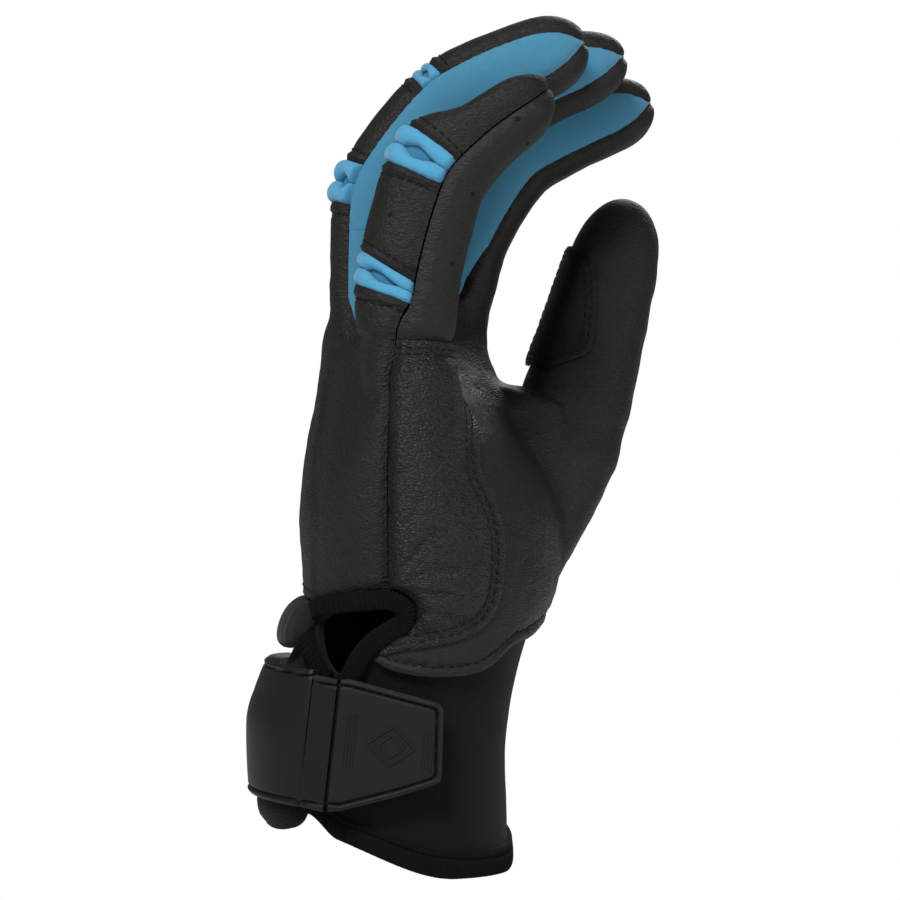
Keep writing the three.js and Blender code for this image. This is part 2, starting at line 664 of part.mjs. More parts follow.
// The notch: the leather stops at the binding's outer edge, and the sleeve's hole lies inside the binding.
const notchLine = placesOf(notchShares);
const notchInner = growOutline(notchLine, -bindingHalfWidth);
const notchOuter = growOutline(notchLine, bindingHalfWidth + seamGap);
const notchCut = column(notchOuter, -overrun, 0);
const ulnarEdge = (fingers.pinky.y + fingers.ring.y) / 2;
const radialEdge = (fingers.middle.y + fingers.index.y) / 2;
const zoneEdges = [-overrun, ulnarEdge, radialEdge, overrun];
const zoneLap = seamGap / 4;
const above = 2 * webHeight;

// The leather on one side of the seams. The way is 1 for the palm and -1 for the back.
function leatherZone(way, hemShares, footShare) {
  return union(
    seamShares.map((line, i) => {
      const seam = placesOf(line).map(([x, z]) => [x + (way * seamGap) / 2, z]);
      const top = [[seam.at(-1)[0], above], [way * overrun, above]];
      const foot = [seam[0][0], footShare * webHeight];
      const outline = [...seam, ...top, ...placesOf(hemShares), foot];
      return column(outline, zoneEdges[i] - zoneLap, zoneEdges[i + 1]);
    }),
  );
}

function leatherOnHand() {
  const cut = shell.subtract(forkCuts).subtract(notchCut);
  const back = cut.intersect(leatherZone(-1, backHemShares, backFootShare));
  const palm = cut.intersect(leatherZone(1, palmHemShares, palmFootShare));
  piece("back_panel", geometryOfSolid(biggest(back)), leatherBlack);
  piece("palm_panel", geometryOfSolid(biggest(palm)), leatherBlack);
  forkOwners.forEach((name, i) => {
    piece(name, geometryOfSolid(biggest(shell.intersect(forkSolid(i, 0)))), stretchBlue);
  });
}

// The patch lies flat round its edge and bulges over the foam.
function heelPad() {
  const skin = handSkin(seamGap);
  const heelOutline = placesOf(heelShares);
  const foamOutline = growOutline(heelOutline, -foamMargin);
  const foamTop = seamGap + foamThickness;
  const patchEdge = seamGap + patchThickness;
  const nearSide = (outline) => column(outline, -overrun, heelReachShare * handHalfWidth);
  const foam = handLoft(foamTop).intersect(nearSide(foamOutline)).subtract(skin);
  const room = handLoft(foamTop + seamGap).intersect(nearSide(growOutline(foamOutline, seamGap)));
  const crown = handLoft(foamTop + seamGap + patchThickness).intersect(
    nearSide(growOutline(foamOutline, seamGap + patchThickness)),
  );
  const patch = handLoft(patchEdge).intersect(nearSide(heelOutline)).add(crown).subtract(room).subtract(skin);
  piece("heel_foam", geometryOfSolid(biggest(foam)), foamGrey);
  piece("heel_patch", geometryOfSolid(biggest(patch)), leatherBlack);
}

// A finger's leather, its stretch sides and its two flex bands.
function fingerPieces(name) {
  const finger = fingers[name];
  const [ulnar, radial] = hasSide[name];
  const end = () => finger.path.length;
  for (const [part, from, to, rows, isTip] of [
    ["mid", finger.lower.after, finger.upper.before, straightRows(4), false],
    ["tip", finger.upper.after, end, tipRows, true],
  ]) {
    const seams = seamsOf(name, isTip);
    const panel = (suffix, cols, seamA, seamB, panelRows, material, wall) =>
      piece(
        `${name}_${part}_${suffix}`,
        plateOf(finger, from, to, panelRows, cols, seamA, seamB, 0, wall),
        material,
      );
    panel("back", backCols, seams.backRadial, seams.backUlnar, rows, leatherBlack, leather);
    panel("palm", palmCols, seams.palmUlnar, seams.palmRadial, rows, leatherBlack, leather);
    const side = (suffix, seamA, seamB) =>
      panel(suffix, sideCols, seamA, seamB, isTip ? rows.slice(0, sideRows) : rows, stretchBlue, fabric);
    const turned = (seam) => (share) => seam(share) - 2 * Math.PI;
    if (ulnar) side("side_ulnar", seams.backUlnar, seams.palmUlnar);
    if (radial) side("side_radial", turned(seams.palmRadial), seams.backRadial);
  }
  flexBand(`${name}_lower_flex`, finger, finger.lower);
  flexBand(`${name}_upper_flex`, finger, finger.upper);
}

// A stretch band across a joint's wedge: two ridges over the back, fading out towards the hinge.
function flexBand(name, digit, joint, material = stretchBlue, ridge = flexRidge) {
  const reach = flexReachDeg * rad;
  const grid = (isOuter) =>
    Array.from({ length: flexRows + 1 }, (_, i) =>
      Array.from({ length: flexCols + 1 }, (_, j) => {
        const angle = joint.angle + Math.PI + mix(-reach, reach, j / flexCols);
        const spare = seamGap / joint.width(angle);
        const share = mix(spare, 1 - spare, i / flexRows);
        const t = mix(joint.before(angle), joint.after(angle), share);
        const fade = Math.max(0, Math.cos((angle - joint.angle - Math.PI) * flexFadeShare));
        const wave = (ridge * fade * (1 - Math.cos((4 * Math.PI * i) / flexRows))) / 2;
        return skinPoint(digit, t, angle, isOuter ? -wave : fabric);
      }),
    );
  piece(name, plate(grid(true), grid(false)), material);
}

function thumbPieces() {
  const end = () => thumb.path.length;
  const rings = (inset, past) =>
    tipRows.map((row, i) =>
      Array.from({ length: aroundThumb }, (_, j) => {
        const angle = (2 * Math.PI * j) / aroundThumb;
        const t = mix(thumb.lower.after(angle) - (i === 0 ? past : 0), end(), row.share);
        return skinPoint(thumb, t, angle, inset, row.taper);
      }),
    );
  const hull = solid(loft(rings(0, 0))).subtract(solid(loft(rings(leather, 2 * hingeGap))));
  piece("thumb_shell", geometryOfSolid(hull), leatherBlack);
  const tipFrom = thumb.path.starts.at(-1).from;
  const patchFrom = () => tipFrom + thumb.tipLength * thumbPatchShares[0];
  const patchTo = () => tipFrom + thumb.tipLength * thumbPatchShares[1];
  const seams = thumbPatchDegs.map((deg) => () => deg * rad);
  const rows = straightRows(patchRows);
  const outset = seamGap + patchThickness;
  const patch = plateOf(thumb, patchFrom, patchTo, rows, patchCols, seams[0], seams[1], outset, -seamGap);
  piece("thumb_patch", patch, leatherBlack);
  flexBand("thumb_gusset", thumb, thumb.lower, leatherBlack, 0);
}

// The cuff's outer shape between levels, and a ring of it with its wall between two offsets.
function cuffBody(shares, grow) {
  return solid(loft(shares.map((share) => sleeveRing(levelAt(share), grow))));
}

function cuffRing(shares, outerGrow, innerGrow) {
  const past = [shares[0] - hemShare, ...shares.slice(1, -1), shares.at(-1) + hemShare];
  return cuffBody(shares, outerGrow).subtract(cuffBody(past, innerGrow));
}

const hemShare = hemHeight / webHeight;
const gapShare = seamGap / webHeight;
const sleeveOut = -(leather + seamGap);
const sleeveIn = sleeveOut - sleeve;

function cuff() {
  const hemTop = hemLevelShare + hemShare;
  const hemLevels = [hemLevelShare, hemLevelShare + hemShare / 2, hemTop];
  const hem = cuffRing(hemLevels, sleeveOut + hemThickness, sleeveIn);
  piece("cuff_hem", geometryOfSolid(hem), ribBlack);
  const hole = column(notchInner, -overrun, 0);
  const levels = [hemTop + gapShare, ...cuffLevelShares, cuffTopShare];
  const tube = cuffRing(levels, sleeveOut, sleeveIn).subtract(hole);
  piece("cuff_sleeve", geometryOfSolid(biggest(tube)), stretchBlack);
  const strip = column(stripOutline(notchLine, bindingHalfWidth), -overrun, 0);
  const bottom = sleeveOut + seamGap;
  const layer = handLoft(bottom + bindingThickness).subtract(handLoft(bottom));
  piece("notch_binding", geometryOfSolid(biggest(layer.intersect(strip))), ribBlack);
}

function wristRoll() {
  const level = levelAt(rollLevelShare);
  const centreGrow = sleeveOut + seamGap + rollHalfThickness / 2;
  const rings = Array.from({ length: rollStations }, (_, i) => {
    const angle = -mix(rollReachDeg[0], rollReachDeg[1], i / (rollStations - 1)) * rad;
    const round = Math.sin((Math.PI * (i + 1 / 2)) / rollStations) ** rollBluntExponent;
    return Array.from({ length: aroundRoll }, (_, j) => {
      const turn = (2 * Math.PI * j) / aroundRoll;
      const at = sleevePoint(level, angle, centreGrow + Math.cos(turn) * rollHalfThickness * round);
      return [at[0], at[1], at[2] + Math.sin(turn) * rollHalfHeight * round];
    });
  });
  const clear = column(stripOutline(notchLine, bindingHalfWidth + seamGap), -overrun, 0);
  const roll = solid(loft(rings)).subtract(handLoft(sleeveOut + seamGap)).subtract(clear);
  piece("wrist_roll", geometryOfSolid(biggest(roll)), stretchBlack);
}

// The strap's frame: x runs along the strap from its first fold, z across it, and y into the wrist.
const strapFrame = new THREE.Matrix4()
  .makeTranslation(...strapFoldShares.map((share, k) => share * [handDepth, handHalfWidth, webHeight][k]))
  .multiply(new THREE.Matrix4().makeRotationY(strapLeanDeg * rad));
const barFrame = strapFrame.clone().multiply(new THREE.Matrix4().makeRotationZ(-barTurnDeg * rad));
const tipFrame = barFrame
  .clone()
  .multiply(new THREE.Matrix4().makeTranslation(barWidth + foldGap, 0, 0))
  .multiply(new THREE.Matrix4().makeRotationZ(barTurnDeg * rad));
const strapWhole = strapWall + strapRim;

// A flat plate of the strap from an outline, with a raised rim round its outer face.
function rimmedPlate(outline, frame) {
  const whole = prism(outline, 0, strapWhole).applyMatrix4(frame);
  const recess = prism(growOutline(outline, -strapRimWidth), -strapWhole, strapRim).applyMatrix4(frame);
  return solid(whole).subtract(solid(recess));
}

function strap() {
  const cuffSkin = handLoft(sleeveOut + seamGap);
  const half = strapHeight / 2;
  const barEnds = barShares.map((ends) => ends.map((share) => share * strapHeight));
  const [[nearFoot, nearTop], [farFoot, farTop]] = barEnds;
  const bar = [[foldGap, nearFoot], [barWidth, farFoot], [barWidth, farTop], [foldGap, nearTop]];
  const mitreFrame = barFrame
    .clone()
    .multiply(new THREE.Matrix4().makeTranslation(barWidth + foldGap / 2, 0, 0))
    .multiply(new THREE.Matrix4().makeRotationZ((barTurnDeg / 2) * rad));
  const mitre = (way) => {
    const [near, away] = [(-way * foldGap) / 2, way * barWidth];
    const outline = [[near, -strapHeight], [away, -strapHeight], [away, strapHeight], [near, strapHeight]];
    return solid(prism(outline, -strapWhole, 2 * strapWhole).applyMatrix4(mitreFrame));
  };
  piece("strap_bar", geometryOfSolid(rimmedPlate(bar, barFrame).subtract(mitre(1))), rubberBlack);
  const tip = tipShares.map(([x, z]) => [x * strapHeight + foldGap, z * strapHeight]);
  piece("strap_tip", geometryOfSolid(rimmedPlate(tip, tipFrame).subtract(mitre(-1))), rubberBlack);

  const padOutline = growOutline(tip, -padMargin);
  const hookNear = strapWhole + seamGap;
  const hook = solid(prism(padOutline, hookNear, hookNear + hookThickness).applyMatrix4(tipFrame));
  piece("hook_pad", geometryOfSolid(hook), hookBlack);
  const loopNear = hookNear + hookThickness + seamGap;
  const loop = solid(prism(padOutline, loopNear, loopNear + handHalfWidth / 4).applyMatrix4(tipFrame));
  piece("loop_pad", geometryOfSolid(biggest(loop.subtract(cuffSkin))), hookBlack);

  const tabTop = sleeveOut + seamGap + tabThickness;
  const hemReach = [hemLevelShare - hemShare, hemLevelShare + hemShare + 2 * gapShare];
  const hemRoom = cuffBody(hemReach, sleeveOut + hemThickness + seamGap);
  const tabShape = column(placesOf(tabShares), -overrun, tabReachShare * handHalfWidth);
  const tab = handLoft(tabTop).subtract(cuffSkin).subtract(hemRoom).intersect(tabShape);
  piece("wrist_tab", geometryOfSolid(biggest(tab)), stretchBlack);

  // The strap's plate follows the wrist, so it is cut from a shell round it. Its end meets the first fold.
  const inner = tabTop + seamGap;
  const wrap = (outline, low, high) =>
    handLoft(high)
      .subtract(handLoft(low))
      .intersect(solid(prism(outline, -overrun, overrun).applyMatrix4(strapFrame)));
  const edge = [[-overrun, -half], [0, -half], [0, half], [-overrun, half]];
  const low = half - strapRimWidth;
  const inset = [[-overrun, -low], [-strapRimWidth, -low], [-strapRimWidth, low], [-overrun, low]];
  const everywhere = [[-overrun, -overrun], [overrun, -overrun], [overrun, overrun], [-overrun, overrun]];
  const reach = column(everywhere, -overrun, strapReachShare * handHalfWidth);
  const floor = inner + strapWall;
  const recess = wrap(inset, floor, floor + 2 * strapRim);
  const panel = wrap(edge, inner, floor + strapRim).intersect(reach).subtract(recess);
  piece("strap_panel", geometryOfSolid(biggest(panel)), rubberBlack);
}

leatherOnHand();
heelPad();
for (const name of fingerNames) fingerPieces(name);
thumbPieces();
cuff();
wristRoll();
strap();

// The origin is in the middle of the cuff's mouth.
const mouth = levelAt(hemLevelShare);
const mouthX = ((mouth[1] + mouth[2]) / 2) * handDepth;
glove.position.set(-mouthX, 0, -(hemLevelShare * webHeight - mouth[6] * hemDropShare * mouthX));

export default glove;
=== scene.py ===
# A right-hand batting glove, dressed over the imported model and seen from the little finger's side.
# Lengths are millimetres in the glove's own frame until a mesh is made, and metres after that.
import json
import math

import bpy
import numpy as np
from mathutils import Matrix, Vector, noise

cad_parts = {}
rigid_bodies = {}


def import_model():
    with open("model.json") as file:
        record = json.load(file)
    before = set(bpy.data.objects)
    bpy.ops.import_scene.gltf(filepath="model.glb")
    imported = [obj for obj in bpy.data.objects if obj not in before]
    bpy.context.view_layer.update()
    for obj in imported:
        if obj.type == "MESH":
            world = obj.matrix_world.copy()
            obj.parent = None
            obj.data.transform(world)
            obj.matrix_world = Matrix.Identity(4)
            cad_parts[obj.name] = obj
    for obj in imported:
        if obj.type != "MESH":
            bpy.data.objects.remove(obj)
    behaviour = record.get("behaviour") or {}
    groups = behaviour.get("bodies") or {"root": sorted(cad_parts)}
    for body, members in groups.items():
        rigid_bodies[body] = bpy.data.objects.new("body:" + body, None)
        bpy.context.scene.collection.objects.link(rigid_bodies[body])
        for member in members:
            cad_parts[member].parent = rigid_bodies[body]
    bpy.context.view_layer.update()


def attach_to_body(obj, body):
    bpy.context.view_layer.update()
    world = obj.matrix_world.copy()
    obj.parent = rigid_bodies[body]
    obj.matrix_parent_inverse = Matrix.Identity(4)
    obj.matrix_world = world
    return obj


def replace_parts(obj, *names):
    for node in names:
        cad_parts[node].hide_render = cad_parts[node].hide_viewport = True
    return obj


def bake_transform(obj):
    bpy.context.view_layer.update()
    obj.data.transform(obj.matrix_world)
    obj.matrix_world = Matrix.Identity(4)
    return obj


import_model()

METRE = 1000.0

# Camera: level, in front of the little finger's side. The photograph's middle looks at this point.
CAMERA_DISTANCE = 800.0
CAMERA_X = 14.43
CAMERA_Z = 92.9
SENSOR = 36.0
FRAME_WIDTH = 216.0

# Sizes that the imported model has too.
LEATHER = 1.3
FABRIC = 1.1
SLEEVE = 1.5
SEAM_GAP = 0.3
HINGE_GAP = 0.5
FINGER_GAP = 1.4
SQUARE = 2.5
WEB_HEIGHT = 128.0
HAND_DEPTH = 50.0
WEB_CLIMB = 0.25
HEM_DROP = 0.16
HEM_SIDE = 0.12
ARCH_LEAN = 0.167
ARCH_BOW = 24.2
KNUCKLE_SPARE = 0.4
FLEX_SPARE = 0.9
FLEX_CLOSING = 0.65
WIDER_BAND = 0.2
FLATTENING = 0.4
FORK_DROP = 3.0
FORK_POINT = 9.0
FORK_SAG = 1.5
SMALLEST_WEDGE = math.radians(14)
ROOT_SHARE = 0.88
SIDE_HALF = math.radians(32)

# The knee is the middle of the first joint and the lean its slope. The turns bend the lengths and joints.
FINGERS = {
    "pinky": dict(
        width=20.5, thickness=23.4, tip_width=17.5, tip_thickness=17.4, knee=(1.1, 3.3), lean=5,
        lengths=(22, 25.6, 29.5), turns=(2, 8, 10, 24, 23), flatness=0.45, band_tilt=3.8,
    ),
    "ring": dict(
        width=20.5, thickness=22, tip_width=17.5, tip_thickness=17, knee=(-5.2, 27.2), lean=18,
        lengths=(34, 22.2, 34.5), turns=(4, 28, 12, 14, 16),
    ),
    "middle": dict(
        width=20.5, thickness=21.6, tip_width=17.5, tip_thickness=16.8, knee=(-3.5, 24.5), lean=20,
        lengths=(30, 25, 40), turns=(3, 30, 12, 14, 15),
    ),
    "index": dict(
        width=20.5, thickness=20.8, tip_width=17.5, tip_thickness=16.6, knee=(14.2, 17.6), lean=17,
        lengths=(22, 22.5, 34), turns=(4, 14, 14, 24, 14),
    ),
}
THUMB = dict(
    width=24, thickness=28, tip_width=20, tip_thickness=20.5, knee=(42.5, -21), lean=16,
    lengths=(45, 53.2), turns=(-12, 0, -1),
)
THUMB_SIDES = (0.46, 0.85, 1.08)
THUMB_ROOT_SHARE = 0.66

# Height, back, palm on both sides, half width, and how much of the webs' climb, the mouth's drop and the
# arch applies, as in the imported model.
LEVELS = np.array([
    [-0.09, -0.64, 0.54, 0.54, 0.715, 0, 1, 0],
    [0.02, -0.67, 0.53, 0.53, 0.715, 0, 1, 0],
    [0.11, -0.676, 0.52, 0.52, 0.713, 0, 0.8, 0],
    [0.2, -0.676, 0.512, 0.512, 0.713, 0, 0.5, 0],
    [0.28, -0.65, 0.535, 0.545, 0.725, 0, 0.2, 0],
    [0.36, -0.575, 0.56, 0.625, 0.765, 0, 0, 0],
    [0.43, -0.5, 0.56, 0.725, 0.82, 0, 0, 0],
    [0.49, -0.47, 0.55, 0.83, 0.86, 0, 0, 0],
    [0.62, -0.5, 0.5, 0.85, 0.94, 0, 0, 0],
    [0.735, -0.466, 0.39, 0.68, 0.975, 0.15, 0, 0.2],
    [0.845, -0.405, 0.25, 0.36, 0.975, 0.4, 0, 0.55],
    [0.95, -0.375, 0.12, 0.1, 0.955, 0.8, 0, 0.92],
    [1, -0.37, 0.08, 0.08, 0.945, 1, 0, 1],
])
HEM_LEVEL = 0.012
HEM_HEIGHT = 6.4
CUFF_TOP = 0.5
MOUTH_LIFT = 6.0
MOUTH_LIFT_SPAN = -10, 22
BACK_LIFT = 3.5
BACK_LIFT_SPAN = 15, 22
UNLIFTED = 0.2
NAMES = list(FINGERS)
SPAN = sum(f["width"] for f in FINGERS.values()) + 3 * FINGER_GAP
HALF_WIDTH = SPAN / 2 + KNUCKLE_SPARE


def smooth(low, high, value):
    """A soft ramp from zero at low to one at high."""
    share = np.clip((value - low) / (high - low), 0, 1)
    return share * share * (3 - 2 * share)


def blur(values, width):
    """Values along a line, softened over a width in samples."""
    reach = int(3 * width) + 1
    kernel = np.exp(-0.5 * (np.arange(-reach, reach + 1) / width) ** 2)
    padded = np.pad(values, reach, mode="edge")
    return np.convolve(padded, kernel / kernel.sum(), mode="valid")


def power(value, exponent):
    return np.sign(value) * np.abs(value) ** exponent


def round_cos(angle):
    """The cosine of a circle that is squared off, as the hand's sections are."""
    return power(np.cos(angle), 2 / SQUARE)


def round_sin(angle):
    return power(np.sin(angle), 2 / SQUARE)


# The sleeve of the palm and the cuff.
HEIGHTS = np.linspace(LEVELS[0, 0], LEVELS[-1, 0], 400)
LEVEL_ROWS = np.stack([blur(np.interp(HEIGHTS, LEVELS[:, 0], LEVELS[:, k]), 9) for k in range(8)], 1)


def sleeve(height, angle, grow=0.0):
    """A point on the sleeve at a share of its height. The angle is 0 on the back and grows towards the
    little finger."""
    row = [np.interp(height, HEIGHTS, column) for column in LEVEL_ROWS.T[1:]]
    back, palm_u, palm_r, half, web, hem, arch = row
    across = -round_sin(angle)
    y = across * (half * HALF_WIDTH + grow)
    palm = (palm_u + (palm_r - palm_u) * (across + 1) / 2) * HAND_DEPTH + grow
    arch_y = np.clip(y, -FINGERS["index"]["y"], FINGERS["index"]["y"])
    bow = arch * (ARCH_LEAN * arch_y + ARCH_BOW * (arch_y / HALF_WIDTH) ** 2)
    near = back * HAND_DEPTH - grow
    x = near + (palm - near) * (1 - round_cos(angle)) / 2 + bow
    lift = MOUTH_LIFT * smooth(*MOUTH_LIFT_SPAN, -x) + BACK_LIFT * smooth(*BACK_LIFT_SPAN, -x)
    lift = lift * np.clip((hem - UNLIFTED) / (1 - UNLIFTED), 0, 1)
    z = height * WEB_HEIGHT + web * WEB_CLIMB * y + hem * (HEM_SIDE * y - HEM_DROP * x) + lift
    return np.stack(np.broadcast_arrays(x, y, z), -1)


# A fingertip is rounded from this share of its length on.
TIP_BEND = 0.66
TIP_FULLNESS = 2.3
TIP_BLUNTNESS = 0.47


class Digit:
    """A finger or the thumb: a middle line of arcs in a plane, with a rounded section round it."""

    STEP = 0.2
    SPARE = 14.0
    SOFTEN = 2.2
    SIDE_SOFTEN = 10.0

    def __init__(self, name, spec):
        self.spec = spec
        self.thickness = spec["thickness"]
        self.width = spec["width"]
        turns = [math.radians(turn) for turn in spec["turns"]]
        if name == "thumb":
            root, tip = spec["lengths"]
            lengths = [root, HINGE_GAP, tip]
            self.root_share = THUMB_ROOT_SHARE
        else:
            root, mid, tip = spec["lengths"]
            joints = [self.thickness / 2 * turns[k] + HINGE_GAP for k in (1, 3)]
            lengths = [root, joints[0], mid, joints[1], tip]
            self.root_share = ROOT_SHARE
        self.starts = np.concatenate([[0], np.cumsum(lengths)])
        self.length = self.starts[-1]
        self.root = root
        self.tip = tip
        self.tip_start = self.starts[-2]
        self.knee_t = root + lengths[1] / 2
        line = np.arange(-self.SPARE, self.length + self.SPARE, self.STEP)
        start_tilt = math.radians(spec["lean"]) - turns[1] / 2 - turns[0]
        tilt = start_tilt + np.interp(line, self.starts, np.concatenate([[0], np.cumsum(turns)]))
        tilt = blur(tilt, self.SOFTEN / self.STEP)
        x = np.concatenate([[0], np.cumsum(np.sin((tilt[1:] + tilt[:-1]) / 2))]) * self.STEP
        z = np.concatenate([[0], np.cumsum(np.cos((tilt[1:] + tilt[:-1]) / 2))]) * self.STEP
        x += spec["knee"][0] - np.interp(self.knee_t, line, x)
        z += WEB_HEIGHT + spec["knee"][1] - np.interp(self.knee_t, line, z)
        self.line, self.x, self.z, self.tilt = line, x, z, tilt
        if name == "thumb":
            places = [share * HALF_WIDTH for share in THUMB_SIDES]
            self.side = blur(np.interp(line, [0, root, self.length], places), self.SIDE_SOFTEN / self.STEP)
        else:
            self.side = np.full_like(line, spec["y"])

    def centre(self, t):
        return [np.interp(t, self.line, row) for row in (self.x, self.side, self.z, self.tilt)]

    def halves(self, t):
        """Half the thickness and half the width, with the root's narrowing and the tip's rounding."""
        share = np.clip((t - self.tip_start) / self.tip, 0, 1)
        root = self.root_share + (1 - self.root_share) * np.clip(t / self.root, 0, 1)
        past = np.clip((share - TIP_BEND) / (1 - TIP_BEND), 0, 1)
        taper = np.clip(1 - past ** TIP_FULLNESS, 0, 1) ** TIP_BLUNTNESS
        thick = (self.thickness + (self.spec["tip_thickness"] - self.thickness) * share) / 2
        wide = (self.width + (self.spec["tip_width"] - self.width) * share) / 2
        return thick * root * taper, wide * root * taper

    def flat(self, t):
        """The share by which the back of the tip is flatter."""
        return self.spec.get("flatness", 0) * smooth(0, FLATTENING, (t - self.tip_start) / self.tip)

    def skin(self, t, angle, out=0.0):
        x, y, z, tilt = self.centre(t)
        thick, wide = self.halves(t)
        up = round_cos(angle) * (thick + out) * (1 - self.flat(t) * np.maximum(round_cos(angle), 0))
        along = round_sin(angle) * (wide + out)
        return np.stack(np.broadcast_arrays(x - np.cos(tilt) * up, y - along, z + np.sin(tilt) * up), -1)

    def coords(self, points):
        """How far along the middle line points lie, and how far towards the back and the thumb's side."""
        gap = (points[:, None, 0] - self.x[None, ::3]) ** 2 + (points[:, None, 2] - self.z[None, ::3]) ** 2
        near = np.argmin(gap, 1) * 3
        dx = points[:, 0] - self.x[near]
        dz = points[:, 2] - self.z[near]
        tilt = self.tilt[near]
        t = self.line[near] + dx * np.sin(tilt) + dz * np.cos(tilt)
        x, y, z, tilt = self.centre(t)
        up = -np.cos(tilt) * (points[:, 0] - x) + np.sin(tilt) * (points[:, 2] - z)
        return t, up, points[:, 1] - y

    def angle_of(self, t, up, along):
        thick, wide = self.halves(t)
        c = power(up / np.maximum(thick, 0.1), SQUARE / 2)
        s = power(-along / np.maximum(wide, 0.1), SQUARE / 2)
        return np.arctan2(s, c)

    def joint(self, start, turn, wedge):
        """Edges of the two segments at a joint, as functions of the angle round the digit."""
        slope = math.tan((wedge - turn) / 2)
        radius = self.thickness / 2
        length = radius * turn + HINGE_GAP

        def before(angle):
            return start - slope * radius * (1 + round_cos(angle))

        def after(angle):
            return start + length + slope * radius * (1 + round_cos(angle))

        return before, after

    def opening(self, key, more=0.0):
        """Edges of the leather beside a stretch band, which lean and are closer together on the back."""
        tilt = self.spec.get("band_tilt", 0) if key == "lower" else 0
        closing = -WIDER_BAND if tilt else FLEX_CLOSING

        def shifted(way):
            edge = getattr(self, key)[(way + 1) // 2]

            def leaning(angle):
                spare = FLEX_SPARE + more - closing * np.maximum(round_cos(angle), 0)
                return edge(angle) + tilt * round_cos(angle) + way * spare

            return leaning

        return shifted(-1), shifted(1)


edge = -SPAN / 2
for spec in FINGERS.values():
    spec["y"] = edge + spec["width"] / 2
    edge += spec["width"] + FINGER_GAP
DIGITS = {name: Digit(name, spec) for name, spec in FINGERS.items()}
DIGITS["thumb"] = Digit("thumb", THUMB)
for name in NAMES:
    digit = DIGITS[name]
    turns = [math.radians(turn) for turn in FINGERS[name]["turns"]]
    for key, k in (("lower", 1), ("upper", 3)):
        wedge = max(turns[k], SMALLEST_WEDGE)
        setattr(digit, key, digit.joint(digit.starts[k], turns[k], wedge))

# The origin is in the middle of the cuff's mouth.
mouth = [np.interp(HEM_LEVEL, LEVELS[:, 0], LEVELS[:, k]) for k in range(8)]
MOUTH_X = (mouth[1] + mouth[2]) / 2 * HAND_DEPTH
MOUTH = np.array([MOUTH_X, 0, HEM_LEVEL * WEB_HEIGHT - mouth[6] * HEM_DROP * MOUTH_X])


def place(points):
    """Points of the glove's own frame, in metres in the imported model's frame."""
    return (np.asarray(points, float) - MOUTH) / METRE


# Meshes as arrays, so that one skin can be cut into panels along any line drawn on it.
def normals_of(points, triangles):
    corners = points[triangles]
    flat = np.cross(corners[:, 1] - corners[:, 0], corners[:, 2] - corners[:, 0])
    total = np.zeros_like(points)
    for k in range(3):
        np.add.at(total, triangles[:, k], flat)
    return total / np.maximum(np.linalg.norm(total, axis=1, keepdims=True), 1e-12)


class Skin:
    """A triangle mesh whose points carry normals and any number of distances to lines on it."""

    def __init__(self, points, triangles, normals=None, fields=None):
        self.points = points
        self.triangles = triangles
        self.normals = normals_of(points, triangles) if normals is None else normals
        self.fields = fields or {}

    def columns(self):
        names = list(self.fields)
        return np.column_stack([self.points, self.normals] + [self.fields[n] for n in names]), names

    @staticmethod
    def from_columns(table, names, triangles):
        used, flat = np.unique(triangles, return_inverse=True)
        table = table[used]
        normals = table[:, 3:6] / np.maximum(np.linalg.norm(table[:, 3:6], axis=1, keepdims=True), 1e-12)
        fields = {name: table[:, 6 + k] for k, name in enumerate(names)}
        return Skin(table[:, :3], flat.reshape(-1, 3), normals, fields)

    def crossings(self, values):
        """Triangles that the zero line crosses, turned so that the odd corner comes first."""
        inside = values > 0
        count = inside[self.triangles].sum(1)
        cut = self.triangles[(count == 1) | (count == 2)]
        sides = inside[cut]
        odd = np.where(sides.sum(1) == 1, np.argmax(sides, 1), np.argmin(sides, 1))
        rows = np.arange(len(cut))
        turned = np.stack([cut[rows, (odd + k) % 3] for k in range(3)], 1)
        pairs = np.concatenate([turned[:, [0, 1]], turned[:, [0, 2]]])
        keys, where = np.unique(np.sort(pairs, 1), axis=0, return_inverse=True)
        where = where.reshape(-1)
        a, b = keys.T
        share = (values[a] / (values[a] - values[b]))[:, None]
        table, names = self.columns()
        fresh = table[a] + (table[b] - table[a]) * share
        return turned, where[: len(cut)], where[len(cut):], fresh, table, names, inside, count

    def clip(self, values):
        """The part of the skin where the values are above zero."""
        turned, first, second, fresh, table, names, inside, count = self.crossings(values)
        if not len(turned):
            return Skin.from_columns(table, names, self.triangles[count == 3])
        first = first + len(table)
        second = second + len(table)
        lone = inside[turned[:, 0]]
        parts = [
            self.triangles[count == 3],
            np.stack([turned[lone, 0], first[lone], second[lone]], 1),
            np.stack([first[~lone], turned[~lone, 1], turned[~lone, 2]], 1),
            np.stack([first[~lone], turned[~lone, 2], second[~lone]], 1),
        ]
        return Skin.from_columns(np.concatenate([table, fresh]), names, np.concatenate(parts))

    def keep(self, *names):
        skin = self
        for name in names:
            skin = skin.clip(skin.fields[name])
        return skin

    def lines(self, values):
        """The zero lines as ordered rows of points with their normals."""
        turned, first, second, fresh, _, _, _, _ = self.crossings(values)
        links = {}
        for a, b in zip(first.tolist(), second.tolist()):
            links.setdefault(a, []).append(b)
            links.setdefault(b, []).append(a)
        done = set()
        found = []
        for start in sorted(links, key=lambda i: (len(links[i]) != 1, i)):
            if start in done:
                continue
            chain = [start]
            done.add(start)
            while True:
                ahead = [i for i in links[chain[-1]] if i not in done]
                if not ahead:
                    break
                chain.append(ahead[0])
                done.add(ahead[0])
            if len(links[start]) == 2 and len(chain) > 2:
                chain.append(start)
            rows = fresh[chain]
            found.append((rows[:, :3], rows[:, 3:6]))
        return found


